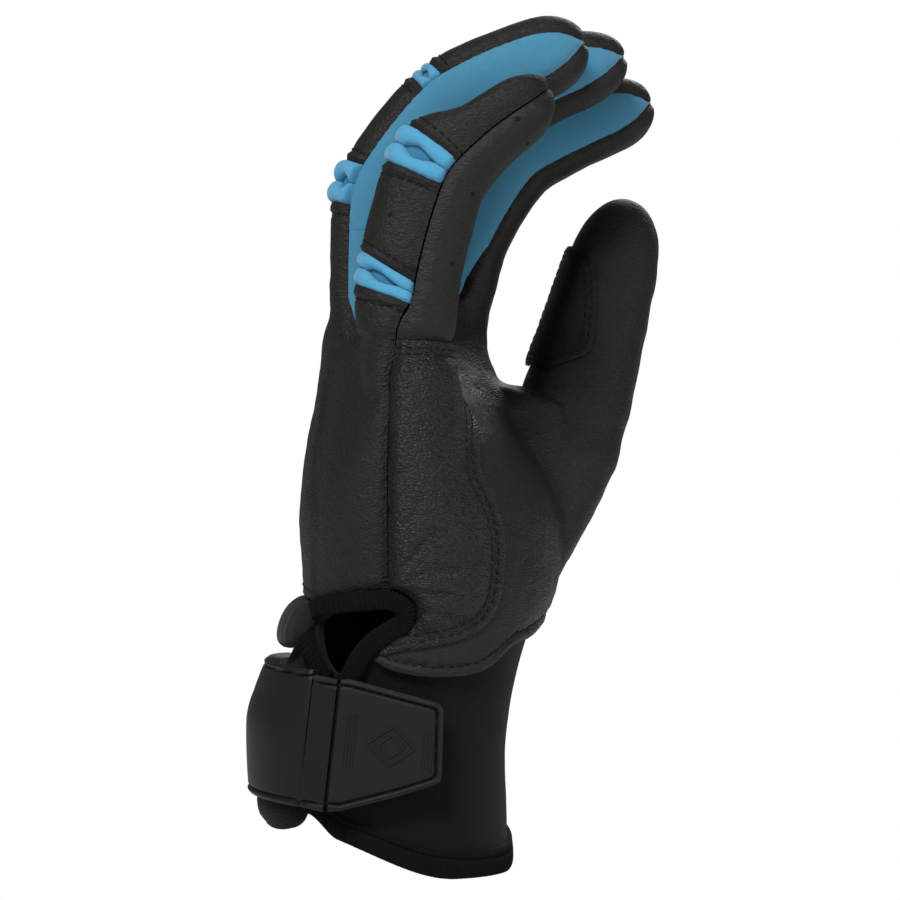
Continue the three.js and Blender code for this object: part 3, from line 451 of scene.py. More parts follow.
def grid_skin(grid, wrap=False, fields=None):
    """A skin from rows and columns of points."""
    rows, cols = grid.shape[:2]
    i, j = np.meshgrid(np.arange(rows - 1), np.arange(cols if wrap else cols - 1), indexing="ij")
    a = (i * cols + j).ravel()
    b = (i * cols + (j + 1) % cols).ravel()
    triangles = np.concatenate([np.stack([a, b, b + cols], 1), np.stack([a, b + cols, a + cols], 1)])
    flat = {name: np.broadcast_to(values, (rows, cols)).ravel() for name, values in (fields or {}).items()}
    return Skin(grid.reshape(-1, 3), triangles, None, flat)


WRINKLE_OCTAVES = 2


def wrinkle(points, scale, seed, stretch=(1, 1, 1)):
    """Smooth noise between -1 and 1 at points, with its waves a scale long."""
    offset = Vector((seed * 7.3, seed * 3.1, seed * 5.7))
    scaled = points / scale / np.array(stretch)
    return np.array([noise.fractal(Vector(p) + offset, 1.0, 2.0, WRINKLE_OCTAVES) for p in scaled])


def make(name, points, faces, materials, face_slots=None, sharp=40):
    """A mesh object in place, shaded smooth but for its sharp edges."""
    mesh = bpy.data.meshes.new(name)
    mesh.from_pydata(place(points).tolist(), [], [list(map(int, f)) for f in faces])
    mesh.validate()
    for material in materials:
        mesh.materials.append(material)
    if face_slots is not None:
        mesh.polygons.foreach_set("material_index", np.asarray(face_slots, dtype=np.int32))
    mesh.polygons.foreach_set("use_smooth", np.ones(len(mesh.polygons), dtype=bool))
    mesh.set_sharp_from_angle(angle=math.radians(sharp))
    mesh.update()
    piece = bpy.data.objects.new(name, mesh)
    bpy.context.scene.collection.objects.link(piece)
    return piece


def walled(skin, lift, wall, level=False):
    """Points, faces and the two sides' slots of a sheet with a wall, from a skin raised by lift.

    The inner side sinks with the outer side, unless it is level."""
    lift = np.broadcast_to(lift, len(skin.points))
    outer = skin.points + skin.normals * lift[:, None]
    inner = skin.points - skin.normals * (wall - (0 if level else 1) * np.minimum(lift, 0))[:, None]
    count = len(outer)
    tri = skin.triangles
    edges = np.concatenate([tri[:, [0, 1]], tri[:, [1, 2]], tri[:, [2, 0]]])
    keys = edges[:, 0].astype(np.int64) * count + edges[:, 1]
    back = edges[:, 1].astype(np.int64) * count + edges[:, 0]
    rim = edges[~np.isin(keys, back)]
    sides = np.stack([rim[:, 1], rim[:, 0], rim[:, 0] + count, rim[:, 1] + count], 1)
    faces = tri.tolist() + (tri[:, ::-1] + count).tolist() + sides.tolist()
    slots = [0] * len(tri) + [1] * len(tri) + [0] * len(sides)
    return np.concatenate([outer, inner]), faces, slots


def shell(name, skin, lift, wall, outside, inside, level=False):
    """A piece of sheet on a skin, with a finish outside and one inside."""
    points, faces, slots = walled(skin, lift, wall, level)
    skin.fields["lift"] = lift
    return make(name, points, faces, [outside, inside], slots)


def joined(groups):
    """The points and faces of several meshes as one."""
    points, faces = [], []
    for own, own_faces in groups:
        faces += [[int(i) + len(points) for i in face] for face in own_faces]
        points += np.asarray(own).tolist()
    return np.array(points), faces


def smooth_line(points, per=6, closed=False):
    """A smooth curve through points."""
    points = np.asarray(points, float)
    count = len(points)
    ahead = [points[(i + 1) % count] if closed else points[min(i + 1, count - 1)] for i in range(count)]
    behind = [points[i - 1] if closed or i else points[0] for i in range(count)]
    slopes = (np.array(ahead) - np.array(behind)) / 2
    curve = []
    for i in range(count if closed else count - 1):
        j = (i + 1) % count
        for k in range(per):
            s = k / per
            curve.append(
                (2 * s**3 - 3 * s**2 + 1) * points[i] + (s**3 - 2 * s**2 + s) * slopes[i]
                + (3 * s**2 - 2 * s**3) * points[j] + (s**3 - s**2) * slopes[j]
            )
    if not closed:
        curve.append(points[-1])
    return np.array(curve)


def inside_outline(points, outline):
    """Distance to a closed outline of [x, z] places, above zero inside it."""
    flat = points[:, [0, 2]] if points.shape[1] == 3 else points
    start = outline
    step = np.roll(outline, -1, 0) - outline
    rel = flat[:, None] - start[None]
    share = np.clip((rel * step).sum(2) / np.maximum((step**2).sum(1), 1e-12), 0, 1)
    distance = np.linalg.norm(rel - share[..., None] * step, axis=2).min(1)
    z0, z1 = start[:, 1], start[:, 1] + step[:, 1]
    crosses = (z0[None] > flat[:, 1:]) != (z1[None] > flat[:, 1:])
    with np.errstate(divide="ignore", invalid="ignore"):
        at = start[None, :, 0] + (flat[:, 1:] - z0[None]) / step[None, :, 1] * step[None, :, 0]
    odd = (crosses & (flat[:, :1] < at)).sum(1) % 2 == 1
    return np.where(odd, distance, -distance)


def rounded(a, b, radius):
    """Distance inside two edges that meet in a round corner."""
    outside = np.hypot(np.maximum(radius - a, 0), np.maximum(radius - b, 0))
    return radius - outside + np.maximum(np.minimum(a, b) - radius, 0)


def places_of(shares):
    return np.array(shares) * [HAND_DEPTH, WEB_HEIGHT]


# Lines on the hand, as shares of its depth and of the webs' height.
NOTCH = smooth_line(places_of([
    [-0.325, 0.323], [-0.375, 0.345], [-0.41, 0.373], [-0.428, 0.418], [-0.392, 0.45], [-0.288, 0.465],
    [-0.08, 0.476], [-0.005, 0.469], [0.022, 0.452], [0.006, 0.434], [-0.05, 0.421], [-0.122, 0.402],
    [-0.19, 0.37], [-0.245, 0.323],
]))
HEEL = smooth_line(places_of([
    [-0.3, 0.945], [-0.15, 0.942], [-0.021, 0.938], [0.144, 0.936], [0.256, 0.93], [0.303, 0.915],
    [0.322, 0.885], [0.34, 0.836], [0.348, 0.778], [0.358, 0.706], [0.412, 0.66], [0.45, 0.62],
    [0.47, 0.57], [0.466, 0.52], [0.45, 0.478], [0.416, 0.445], [0.35, 0.418], [0.266, 0.402],
    [0.12, 0.39], [-0.008, 0.383], [-0.122, 0.374], [-0.3, 0.374], [-0.4, 0.45], [-0.4, 0.6],
    [-0.4, 0.75], [-0.4, 0.88],
]), 4, True)
PALM_HEM = smooth_line(places_of([
    [-0.4, 0.42], [-0.2, 0.385], [-0.138, 0.366], [-0.08, 0.352], [-0.032, 0.3446], [0.083, 0.3356],
    [0.22, 0.334], [0.335, 0.339], [0.42, 0.355], [0.52, 0.388], [0.62, 0.402], [0.9, 0.47], [1.2, 0.547],
]))
BACK_HEM = places_of([[-1.2, 0.478], [-0.48, 0.478], [-0.38, 0.456], [0, 0.456]])
SEAMS = [places_of(line) for line in (
    [[-0.17, 0], [-0.17, 0.42], [-0.066, 0.47], [-0.066, 0.83], [-0.06, 0.874], [-0.021, 0.948],
     [0.03, 1.01]],
    [[-0.066, 0], [-0.066, 0.828], [-0.066, 0.906], [-0.04, 1.012], [0, 1.328]],
    [[-0.066, 0], [-0.066, 0.75], [0.14, 0.906], [0.26, 1.016], [0.35, 1.164]],
)]
BINDING = 1.8
HEEL_REACH = -0.39
HEEL_CORNER = 7.0

# Where the hand's skin ends: before a finger's palm, and along the thumb near its middle line
PALM_CUT = 6.0
THUMB_CUT = 44.0
THUMB_REACH = 1.22
THUMB_FADE = 0.15
FAR = 50.0

# How the hand's skin is grown and softened
VOXEL = 0.9
GROW_ROUNDS = 10
RELAX_ROUNDS = 60
KEPT_SHARE = 0.85
THENAR_SWELL = 1.5
THUMB_WEB = np.array([-10.0, -3.0, 2.0])
ROOTS_FROM = 110
FINGERS_FROM = 100
MIDDLE_BLUR = 1.5
SEAM_BLUR = 4.0

# Spacing of a panel's points, and how much narrower the stretch sides are towards the palm
FINGER_STEP = 0.95
PALM_SIDE = 0.35

# The seam between the back and the palm on the hand's two outer sides: degrees from the finger's back
OUTER_SEAMS = {
    "pinky": [(0, 78), (10, 80), (14, 83), (18.5, 90), (22, 95), (60, 99)],
    "index": [(0, 90), (14, 92), (22, 97), (60, 98)],
}


def outer_seam(name, t):
    table = OUTER_SEAMS.get(name, [(0, 90), (60, 90)])
    return np.radians(np.interp(t, [row[0] for row in table], [row[1] for row in table]))


def side_half(digit, t):
    """Half the angle that a stretch side panel takes up: it narrows to a point at the fingertip."""
    share = (t - digit.tip_start) / digit.tip
    return SIDE_HALF * np.interp(share, [0.4, 0.66, 0.84, 0.93, 0.98], [1, 0.92, 0.66, 0.34, 0.06])


def seams_of(name, t):
    """Angles of the back's and the palm's edges on the little finger's and the thumb's side."""
    half = side_half(DIGITS[name], t)
    palm_half = half * np.interp(t - DIGITS[name].root, [-PALM_CUT, 4], [PALM_SIDE, 1])
    outer = outer_seam(name, t)
    gap = SEAM_GAP * 1.3 / np.maximum(sum(DIGITS[name].halves(t)), 4)
    right = math.pi / 2
    back_u, palm_u = (outer - gap, outer + gap) if name == "pinky" else (right - half, right + palm_half)
    back_r, palm_r = (outer - gap, outer + gap) if name == "index" else (right - half, right + palm_half)
    return back_u, palm_u, -back_r, 2 * math.pi - palm_r


def lofted(grid):
    """Points and faces of a closed tube."""
    rows, cols = grid.shape[:2]
    faces = [
        (i * cols + j, i * cols + (j + 1) % cols, (i + 1) * cols + (j + 1) % cols, (i + 1) * cols + j)
        for i in range(rows - 1) for j in range(cols)
    ]
    faces.append(tuple(range(cols))[::-1])
    faces.append(tuple(range((rows - 1) * cols, rows * cols)))
    return grid.reshape(-1, 3), faces


def grown_together(tubes, voxel, rounds):
    """One skin round all the tubes, softened."""
    points, faces = joined([lofted(grid) for grid in tubes])
    mesh = bpy.data.meshes.new("rough")
    mesh.from_pydata(points.tolist(), [], faces)
    rough = bpy.data.objects.new("rough", mesh)
    bpy.context.scene.collection.objects.link(rough)
    remesh = rough.modifiers.new("remesh", "REMESH")
    remesh.mode = "VOXEL"
    remesh.voxel_size = voxel
    soft = rough.modifiers.new("soft", "SMOOTH")
    soft.factor = 0.5
    soft.iterations = rounds
    done = rough.evaluated_get(bpy.context.evaluated_depsgraph_get()).to_mesh()
    out = np.empty(len(done.vertices) * 3)
    done.vertices.foreach_get("co", out)
    done.calc_loop_triangles()
    triangles = np.empty(len(done.loop_triangles) * 3, dtype=np.int32)
    done.loop_triangles.foreach_get("vertices", triangles)
    bpy.data.objects.remove(rough)
    bpy.data.meshes.remove(mesh)
    return out.reshape(-1, 3), triangles.reshape(-1, 3).astype(np.int64)


# Tubes of the palm, of each digit's root and of the web beside the thumb, which grow into one skin
SLEEVE_FROM = 0.22
PAST_ROOT = 3
THUMB_SPAN_FROM = -12
PAST_THUMB_ROOT = 4
THUMB_WEB_SPAN = -5, 44.5
thumb = DIGITS["thumb"]
PALM_RING = np.linspace(0, 2 * math.pi, 96, endpoint=False)
DIGIT_RING = np.linspace(0, 2 * math.pi, 64, endpoint=False)


def digit_tube(digit, bottom, top, shift=0):
    return np.stack([digit.skin(t, DIGIT_RING) + shift for t in np.linspace(bottom, top, 30)])


tubes = [np.stack([sleeve(height, PALM_RING) for height in np.linspace(SLEEVE_FROM, 1.0, 60)])]
tubes += [digit_tube(DIGITS[name], 0, DIGITS[name].root + PAST_ROOT) for name in NAMES]
tubes.append(digit_tube(thumb, THUMB_SPAN_FROM, thumb.root + PAST_THUMB_ROOT))
tubes.append(digit_tube(thumb, *THUMB_WEB_SPAN, THUMB_WEB))
points, triangles = grown_together(tubes, VOXEL, GROW_ROUNDS)


RELAX_STEP = 0.7


def relaxed(points, triangles, weight, rounds):
    """Points moved towards their neighbours' middle, as much as their weight says."""
    pairs = np.concatenate([triangles[:, [0, 1]], triangles[:, [1, 2]], triangles[:, [2, 0]]])
    pairs = np.concatenate([pairs, pairs[:, ::-1]])
    count = np.bincount(pairs[:, 0], minlength=len(points))[:, None]
    for _ in range(rounds):
        middle = np.stack([
            np.bincount(pairs[:, 0], points[pairs[:, 1], k], minlength=len(points)) for k in range(3)
        ], 1) / np.maximum(count, 1)
        points = points + (middle - points) * weight[:, None] * RELAX_STEP
    return points


def between(rise, fall, value):
    """One between two ramps, and zero outside them."""
    return smooth(*rise, value) * (1 - smooth(*fall, value))


# The step from the palm's sleeve to the fingers and the hollows beside the thumb are softened more, and
# the ball of the thumb swells a little. Zones fade in and out between heights, the last two also in x.
STEP_ZONE = (110, 118), (134, 142)
HOLLOW_ZONE = (46, 56), (112, 118)
HOLLOW_X = 4, 12
BALL_ZONE = (46, 58), (92, 106)
BALL_X = 24, 34
step = between(*STEP_ZONE, points[:, 2])
hollow = smooth(*HOLLOW_X, points[:, 0]) * between(*HOLLOW_ZONE, points[:, 2])
swell = smooth(*BALL_X, points[:, 0]) * between(*BALL_ZONE, points[:, 2])
moved = relaxed(points, triangles, np.maximum(step, hollow), RELAX_ROUNDS) - points
normals = normals_of(points, triangles)
inwards = np.minimum((moved * normals).sum(1), 0) * (1 - step)
points = points + moved + (THENAR_SWELL * swell - KEPT_SHARE * inwards)[:, None] * normals

# The roots are laid back on the fingers' own surfaces, so that the leather runs on smoothly into them.
centres = np.array([FINGERS[name]["y"] for name in NAMES])
middles = (centres[1:] + centres[:-1]) / 2
zone = np.argmin(np.abs(points[:, 1:2] - centres[None]), 1)
fork_bottoms = WEB_HEIGHT + WEB_CLIMB * middles - FORK_DROP
for k, name in enumerate(NAMES):
    digit = DIGITS[name]
    own = np.where((zone == k) & (points[:, 2] > ROOTS_FROM))[0]
    t, up, along = digit.coords(points[own])
    angle = digit.angle_of(t, up, along)
    floor = fork_bottoms[max(k - 1, 0):k + 1].max()
    weight = smooth(floor - 1, floor + 5, points[own, 2])[:, None]
    points[own] += (digit.skin(t, angle) - points[own]) * weight
LAID_FROM = 30
LAID_SPAN = 32, 43
LAID_FADE = 0.12
t, up, along = thumb.coords(points)
thick, wide = thumb.halves(t)
off = np.hypot(up / thick, along / wide)
own = np.where((t > LAID_FROM) & (off < THUMB_REACH))[0]
angle = thumb.angle_of(t[own], up[own], along[own])
weight = smooth(*LAID_SPAN, t[own]) * (1 - smooth(THUMB_REACH - LAID_FADE, THUMB_REACH, off[own]))
points[own] += (thumb.skin(t[own], angle) - points[own]) * weight[:, None]
hand = Skin(points, triangles)


def finger_fields(skin):
    """Distances on the hand's skin to the edges of its panels, all of them above zero inside the panel."""
    p = skin.points
    x, y, z = p.T
    zone = np.argmin(np.abs(y[:, None] - centres[None]), 1)
    edge_back = np.full(len(p), FAR)
    edge_palm = np.full(len(p), FAR)
    on_finger = np.zeros(len(p))
    finger_seam = np.zeros(len(p))
    finger_fork = np.zeros(len(p))
    for k, name in enumerate(NAMES):
        own = np.where((zone == k) & (z > FINGERS_FROM))[0]
        digit = DIGITS[name]
        t, up, along = digit.coords(p[own])
        angle = np.abs(digit.angle_of(t, up, along))
        thick, wide = digit.halves(t)
        edge_back[own] = digit.opening("lower")[0](angle) - t
        edge_palm[own] = digit.root - PALM_CUT - t
        on_finger[own] = smooth(5, 12, t)
        finger_seam[own] = (angle - outer_seam(name, t)) * (thick + wide) / 2
        half = SIDE_HALF * np.where(up < 0, PALM_SIDE, 1)
        finger_fork[own] = thick * round_cos(math.pi / 2 - half) - np.abs(up)
    t, up, along = thumb.coords(p)
    thick, wide = thumb.halves(t)
    beyond = smooth(THUMB_REACH - THUMB_FADE, THUMB_REACH, np.hypot(up / thick, along / wide))
    edge_thumb = np.where(t > THUMB_CUT / 2, THUMB_CUT - t + (FAR + 10) * beyond, FAR)
    past = [smooth(middle - MIDDLE_BLUR, middle + MIDDLE_BLUR, y) for middle in middles]
    shares = [1 - past[0], past[0] - past[1], past[1] - past[2], past[2]]
    line_x = np.zeros(len(p))
    reach = np.zeros(len(p))
    for share, name in zip(shares, NAMES):
        digit = DIGITS[name]
        root = slice(0, int((digit.root + digit.SPARE) / digit.STEP))
        line_x += share * np.interp(z, digit.z[root], digit.x[root])
        narrow = ROOT_SHARE + (1 - ROOT_SHARE) * np.clip(digit.line[root] / digit.root, 0, 1)
        narrow = np.interp(z, digit.z[root], narrow)
        reach += share * digit.thickness / 2 * round_cos(math.pi / 2 - SIDE_HALF) * narrow
    bottom = WEB_HEIGHT + WEB_CLIMB * np.clip(y, middles[0], middles[2]) - FORK_DROP
    bottom = bottom + FORK_SAG * (2 * ((x - line_x) / np.maximum(reach, 1)) ** 2 - 1)
    palm_reach = round_cos(math.pi / 2 - SIDE_HALF * PALM_SIDE) / round_cos(math.pi / 2 - SIDE_HALF)
    reach = reach * np.where(x > line_x, palm_reach, 1)
    across = (reach - np.abs(x - line_x)) * (1 - on_finger) + finger_fork * on_finger
    across = across - reach * (1 - np.clip((z - bottom) / FORK_POINT, 0, 1) ** 0.7)
    fork = np.minimum(across, z - bottom)
    fork = np.minimum(fork, np.minimum(y - centres[0], centres[3] - y))
    low, high = (smooth(middle - SEAM_BLUR, middle + SEAM_BLUR, y) for middle in (middles[0], middles[2]))
    seams = [np.interp(z, line[:, 1], line[:, 0]) for line in SEAMS]
    seam = x - (seams[0] * (1 - low) + seams[1] * (low - high) + seams[2] * high)
    seam = seam * (1 - on_finger) + finger_seam * on_finger
    notch = np.where(y < 0, -inside_outline(p, NOTCH), FAR)
    heel = np.where(y < 0, inside_outline(p, HEEL), -FAR)
    skin.fields = dict(
        edge_back=edge_back, edge_palm=edge_palm, edge_thumb=edge_thumb,
        fork=fork, off_fork=-fork - SEAM_GAP,
        palm=seam - SEAM_GAP / 2, back=-seam - SEAM_GAP / 2, notch=notch - BINDING - SEAM_GAP / 2,
        palm_hem=z - np.interp(x, PALM_HEM[:, 0], PALM_HEM[:, 1]),
        back_hem=z - np.interp(x, BACK_HEM[:, 0], BACK_HEM[:, 1]),
        heel=rounded(heel, HEEL_REACH * HALF_WIDTH - y, HEEL_CORNER),
    )


finger_fields(hand)


# Finishes
class Value:
    """A number that varies over a surface, so that a finish is written as sums."""

    def __init__(self, finish, socket):
        self.finish = finish
        self.socket = socket

    def math(self, operation, *others):
        return self.finish.node("ShaderNodeMath", dict(operation=operation), [self, *others])

    def __add__(self, other):
        return self.math("ADD", other)

    def __mul__(self, other):
        return self.math("MULTIPLY", other)

    def __sub__(self, other):
        return self.math("SUBTRACT", other)

    def __rsub__(self, other):
        return self.finish.node("ShaderNodeMath", dict(operation="SUBTRACT"), [other, self])

    __radd__ = __add__
    __rmul__ = __mul__


class Finish:
    """A material whose nodes are made in one place."""

    def __init__(self, name, colour, roughness, **constants):
        self.material = bpy.data.materials.new(name)
        self.material.use_nodes = True
        self.tree = self.material.node_tree
        self.shader = self.tree.nodes["Principled BSDF"]
        self.shader.inputs["Base Color"].default_value = (*colour, 1)
        self.shader.inputs["Roughness"].default_value = roughness
        for socket, value in constants.items():
            self.shader.inputs[socket.replace("_", " ")].default_value = value
        self.place = self.node("ShaderNodeTexCoord", {}, [], "Object")

    def node(self, kind, settings, inputs, out=0):
        node = self.tree.nodes.new(kind)
        for key, value in settings.items():
            setattr(node, key, value)
        pairs = inputs.items() if isinstance(inputs, dict) else enumerate(inputs)
        for key, value in pairs:
            if isinstance(value, Value):
                self.tree.links.new(value.socket, node.inputs[key])
            else:
                node.inputs[key].default_value = value
        return Value(self, node.outputs[out])

    def noise(self, scale, detail, place=None, distortion=0.0):
        return self.node("ShaderNodeTexNoise", {}, {
            "Vector": place or self.place, "Scale": scale, "Detail": detail, "Distortion": distortion})

    def cells(self, scale, place=None):
        inputs = {"Vector": place or self.place, "Scale": scale}
        return self.node("ShaderNodeTexVoronoi", {}, inputs, "Distance")

    def stretched(self, x, y, z):
        return self.node("ShaderNodeVectorMath", dict(operation="MULTIPLY"), [self.place, (x, y, z)])

    def along(self, x, y, z):
        """How far a point lies in a direction, in metres."""
        dot = dict(operation="DOT_PRODUCT")
        return self.node("ShaderNodeVectorMath", dot, [self.place, (x, y, z)], "Value")

    def paint(self, share, low, high):
        ends = {0: share, 6: (*low, 1), 7: (*high, 1)}
        colour = self.node("ShaderNodeMix", dict(data_type="RGBA"), ends, 2)
        self.tree.links.new(colour.socket, self.shader.inputs["Base Color"])
        return self

    def rough(self, value):
        self.tree.links.new(value.socket, self.shader.inputs["Roughness"])
        return self

    def bump(self, height, depth):
        bump = self.node("ShaderNodeBump", {}, {"Height": height, "Distance": depth}, "Normal")
        self.tree.links.new(bump.socket, self.shader.inputs["Normal"])
        return self


def shade(colour, factor):
    return tuple(channel * factor for channel in colour)


def leather(name, colour, roughness=0.55, grain=0.0005, shine=0.2):
    """Soft black leather: pebbled grain drawn out across the hand, and fine folds."""
    finish = Finish(name, colour, roughness, Specular_IOR_Level=shine)
    drawn = finish.stretched(1.0, 1.0, 1.9)
    pebble = finish.cells(1250, place=drawn)
    creases = finish.noise(620, 3, drawn, 0.6)
    folds = finish.noise(160, 3, drawn, 0.8)
    patchy = finish.noise(40, 3)
    height = pebble * 0.45 + creases * 0.6 + folds * 0.8
    # Colour lighter on the raised pebbles and creases and darker in their hollows: painted sheen and painted
    # shade of the grain, mixed with the leather's own patchy tone.
    painted_grain_light_and_tone = pebble * 0.5 + creases * 0.6 + patchy * 0.3 - 0.3
    finish.paint(painted_grain_light_and_tone, shade(colour, 0.45), shade(colour, 1.9))
    finish.rough(roughness - 0.12 + 0.14 * patchy + 0.14 * creases)
    return finish.bump(height, grain).material


def stretch(name, colour, sheen=0.2):
    """Stretch fabric with a short brushed nap over a fine knit."""
    finish = Finish(name, colour, 0.9, Sheen_Weight=sheen, Sheen_Roughness=0.5, Specular_IOR_Level=0.2)
    knit = finish.cells(2300)
    nap = finish.noise(900, 4)
    soft = finish.noise(60, 2)
    finish.paint(soft * 0.45 + nap * 0.55, shade(colour, 0.82), shade(colour, 1.18))
    return finish.bump(knit * 0.5 + nap * 0.5, 0.00008).material


TWILL_PERIOD = 0.00062


def twill(name, colour):
    """Woven stretch fabric with fine diagonal lines."""
    finish = Finish(name, colour, 0.85, Sheen_Weight=0.04, Specular_IOR_Level=0.12)
    lines = (finish.along(0.62, 0.5, 0.72) * (2 * math.pi / TWILL_PERIOD)).math("SINE")
    threads = finish.noise(1700, 2)
    finish.paint(lines * 0.35 + threads * 0.3 + 0.35, shade(colour, 0.6), shade(colour, 1.5))
    return finish.bump(lines * 0.5 + threads * 0.5, 0.00006).material


def knitted(name, colour):
    """Coarse knitting with dull loops."""
    finish = Finish(name, colour, 0.93, Sheen_Weight=0.02, Specular_IOR_Level=0.09)
    loops = finish.cells(1500)
    threads = finish.noise(2100, 2)
    finish.paint(threads, shade(colour, 0.55), shade(colour, 1.7))
    return finish.bump(loops * 0.6 + threads * 0.4, 0.00012).material


def moulded(name, colour, roughness):
    """Matt rubber or thread, without a weave."""
    finish = Finish(name, colour, roughness, Specular_IOR_Level=0.22)
    fine = finish.noise(1600, 3)
    patchy = finish.noise(70, 2)
    finish.paint(patchy, shade(colour, 0.85), shade(colour, 1.2))
    finish.rough(roughness - 0.06 + 0.12 * fine)
    return finish.bump(fine, 0.00002).material


LEATHER_BACK = leather("leather_back", (0.0082, 0.0084, 0.0074))
LEATHER_PALM = leather("leather_palm", (0.0082, 0.0084, 0.008), 0.55, 0.0003)
LEATHER_PATCH = leather("leather_patch", (0.0052, 0.0054, 0.0046), 0.46, 0.0007, 0.26)
# The thumb grip patch's leather is a darker copy of the black leather: painted shade, because the patch
# faces away from the light.
LEATHER_GRIP_PAINTED_SHADE = leather("leather_grip_painted_shade", (0.002, 0.002, 0.0019), 0.5, 0.0003, 0.2)
BLUE = stretch("stretch_blue", (0.04, 0.166, 0.265))
BAND_BLUE = stretch("stretch_blue_bands", (0.055, 0.24, 0.4))
# A darker, less sheeny copy of the band blue for the sheet under a band's rolls: painted shade in the
# opening between the rolls.
BLUE_PAINTED_SHADE = stretch("stretch_blue_painted_shade", (0.025, 0.14, 0.24), 0.1)
BLACK_STRETCH = stretch("stretch_black", (0.007, 0.007, 0.007), 0.06)
CUFF_TWILL = twill("cuff_twill", (0.0026, 0.0026, 0.0025))
RIB = knitted("rib_knit", (0.0022, 0.0022, 0.0021))
RUBBER = moulded("strap_rubber", (0.004, 0.0042, 0.0042), 0.55)
THREAD = moulded("thread", (0.0025, 0.0025, 0.0025), 0.75)
# Near-black finish of the punched holes' shallow dimples: painted shade for the depth of a hole.
HOLE_PAINTED_SHADE = moulded("perforation_painted_shade", (0.002, 0.002, 0.002), 0.9)
LINING = stretch("lining", (0.03, 0.032, 0.034))
PAD = knitted("hook_and_loop", (0.006, 0.006, 0.006))


def ridge(distance, at, width):
    """A soft rise of height one along a line at a distance."""
    return np.exp(-(((distance - at) / width) ** 2))


def sewn(distance, depth, width=1.1):
    """How far leather dips into a seam at a distance from it."""
    return -depth * ridge(distance, 0, width)


# Stitches and punched holes
THREAD_SHAPE = [(-0.5, 0.3), (-0.4, 0.85), (0, 1), (0.4, 0.85), (0.5, 0.3)]
THREAD_LENGTH = 1.5
THREAD_GAP = 0.75
THREAD_SIZE = 0.24
HOLE_SIZE = 0.62
HOLE_RINGS = [(0.1, 0.04), (0.8, 0.06), (0.95, 0.03), (1.0, -0.2)]
SHORTEST_SEAM = 4.0


def resampled(rows, step):
    """Rows of points and normals at an even spacing."""
    points, normals = rows
    length = np.concatenate([[0], np.cumsum(np.linalg.norm(np.diff(points, axis=0), axis=1))])
    at = np.linspace(0, length[-1], max(2, int(length[-1] / step) + 1))
    both = np.column_stack([points, normals])
    both = np.column_stack([np.interp(at, length, column) for column in both.T])
    normals = both[:, 3:] / np.linalg.norm(both[:, 3:], axis=1, keepdims=True)
    return both[:, :3], normals


def directions(points, normals):
    """The directions along a line on a surface and across it."""
    ahead = np.gradient(points, axis=0)
    ahead = ahead / np.maximum(np.linalg.norm(ahead, axis=1, keepdims=True), 1e-9)
    return ahead, np.cross(normals, ahead)


def stitch(at, ahead, across, normal, length=THREAD_LENGTH, size=THREAD_SIZE):
    """One stitch: a short bead with thin ends."""
    turn = np.linspace(0, 2 * math.pi, 6, endpoint=False)
    ring = np.outer(np.cos(turn), across) + np.outer(np.sin(turn), normal)
    rings = [at + ahead * length * share + ring * size * part for share, part in THREAD_SHAPE]
    return lofted(np.stack(rings))


def stitched(rows):
    """Stitches in a line along rows of points with normals."""
    groups = []
    for points, normals in rows:
        if np.linalg.norm(np.diff(points, axis=0), axis=1).sum() < SHORTEST_SEAM:
            continue
        points, normals = resampled((points, normals), (THREAD_LENGTH + THREAD_GAP) / 2)
        ahead, across = directions(points, normals)
        for k in range(1, len(points), 2):
            groups.append(stitch(points[k] + normals[k] * 0.03, ahead[k], across[k], normals[k]))
    return groups


def nearest(skin, x, z):
    """The raised skin's point on the little finger's side at a place seen from there."""
    seen = np.where(skin.normals[:, 1] < -0.15)[0]
    best = seen[np.argmin((skin.points[seen, 0] - x) ** 2 + (skin.points[seen, 2] - z) ** 2)]
    return skin.points[best], skin.normals[best]


def raised(skin):
    """A skin at the height that its piece was raised to."""
    points = skin.points + skin.normals * skin.fields["lift"][:, None]
    return Skin(points, skin.triangles, skin.normals, skin.fields)


def hole(at, normal):
    """A small round dimple of a punched hole."""
    side = np.cross(normal, [0, 0, 1.0])
    side = side / np.linalg.norm(side)
    other = np.cross(normal, side)
    turn = np.linspace(0, 2 * math.pi, 14, endpoint=False)
    round_hole = np.outer(np.cos(turn), side) + np.outer(np.sin(turn), other)
    rings = [at + normal * high + round_hole * size * HOLE_SIZE for size, high in HOLE_RINGS]
    return lofted(np.stack(rings))


def trim(name, skin, attach, rows, holes=(), extra=()):
    """Stitches on a piece's skin, where the values in rows are zero, and punched holes in it."""
    top = raised(skin)
    groups = [group for values in rows for group in stitched(top.lines(values))] + list(extra)
    threads = sum(len(faces) for _, faces in groups)
    groups += [hole(*nearest(top, x, z)) for x, z in holes]
    points, faces = joined(groups)
    # Stitches take the thread finish. Holes take the near-black one, whose darkness is painted shade.
    slots = [0] * threads + [1] * (len(faces) - threads)
    attach(make(name, points, faces, [THREAD, HOLE_PAINTED_SHADE], slots, 60))


# Panels of the hand
HEM_STITCH = 2.3
HEM_SIZE = 0.5
BACK_HEM_STITCH = 2.0
PUFF_REACH = 4.0
FADE_REACH = 6.0
UNDER_PATCH = 0.5


def hemmed(distance):
    """The rounded fold of a hem and the dip of its stitches, from an edge inwards."""
    return 0.6 * ridge(distance, 1.1, 0.7) - ridge(distance, HEM_STITCH, 0.5)


def puffed(distance, height):
    """Leather that rises from a seam to its full height."""
    return height * (1 - ridge(distance, 0, PUFF_REACH))


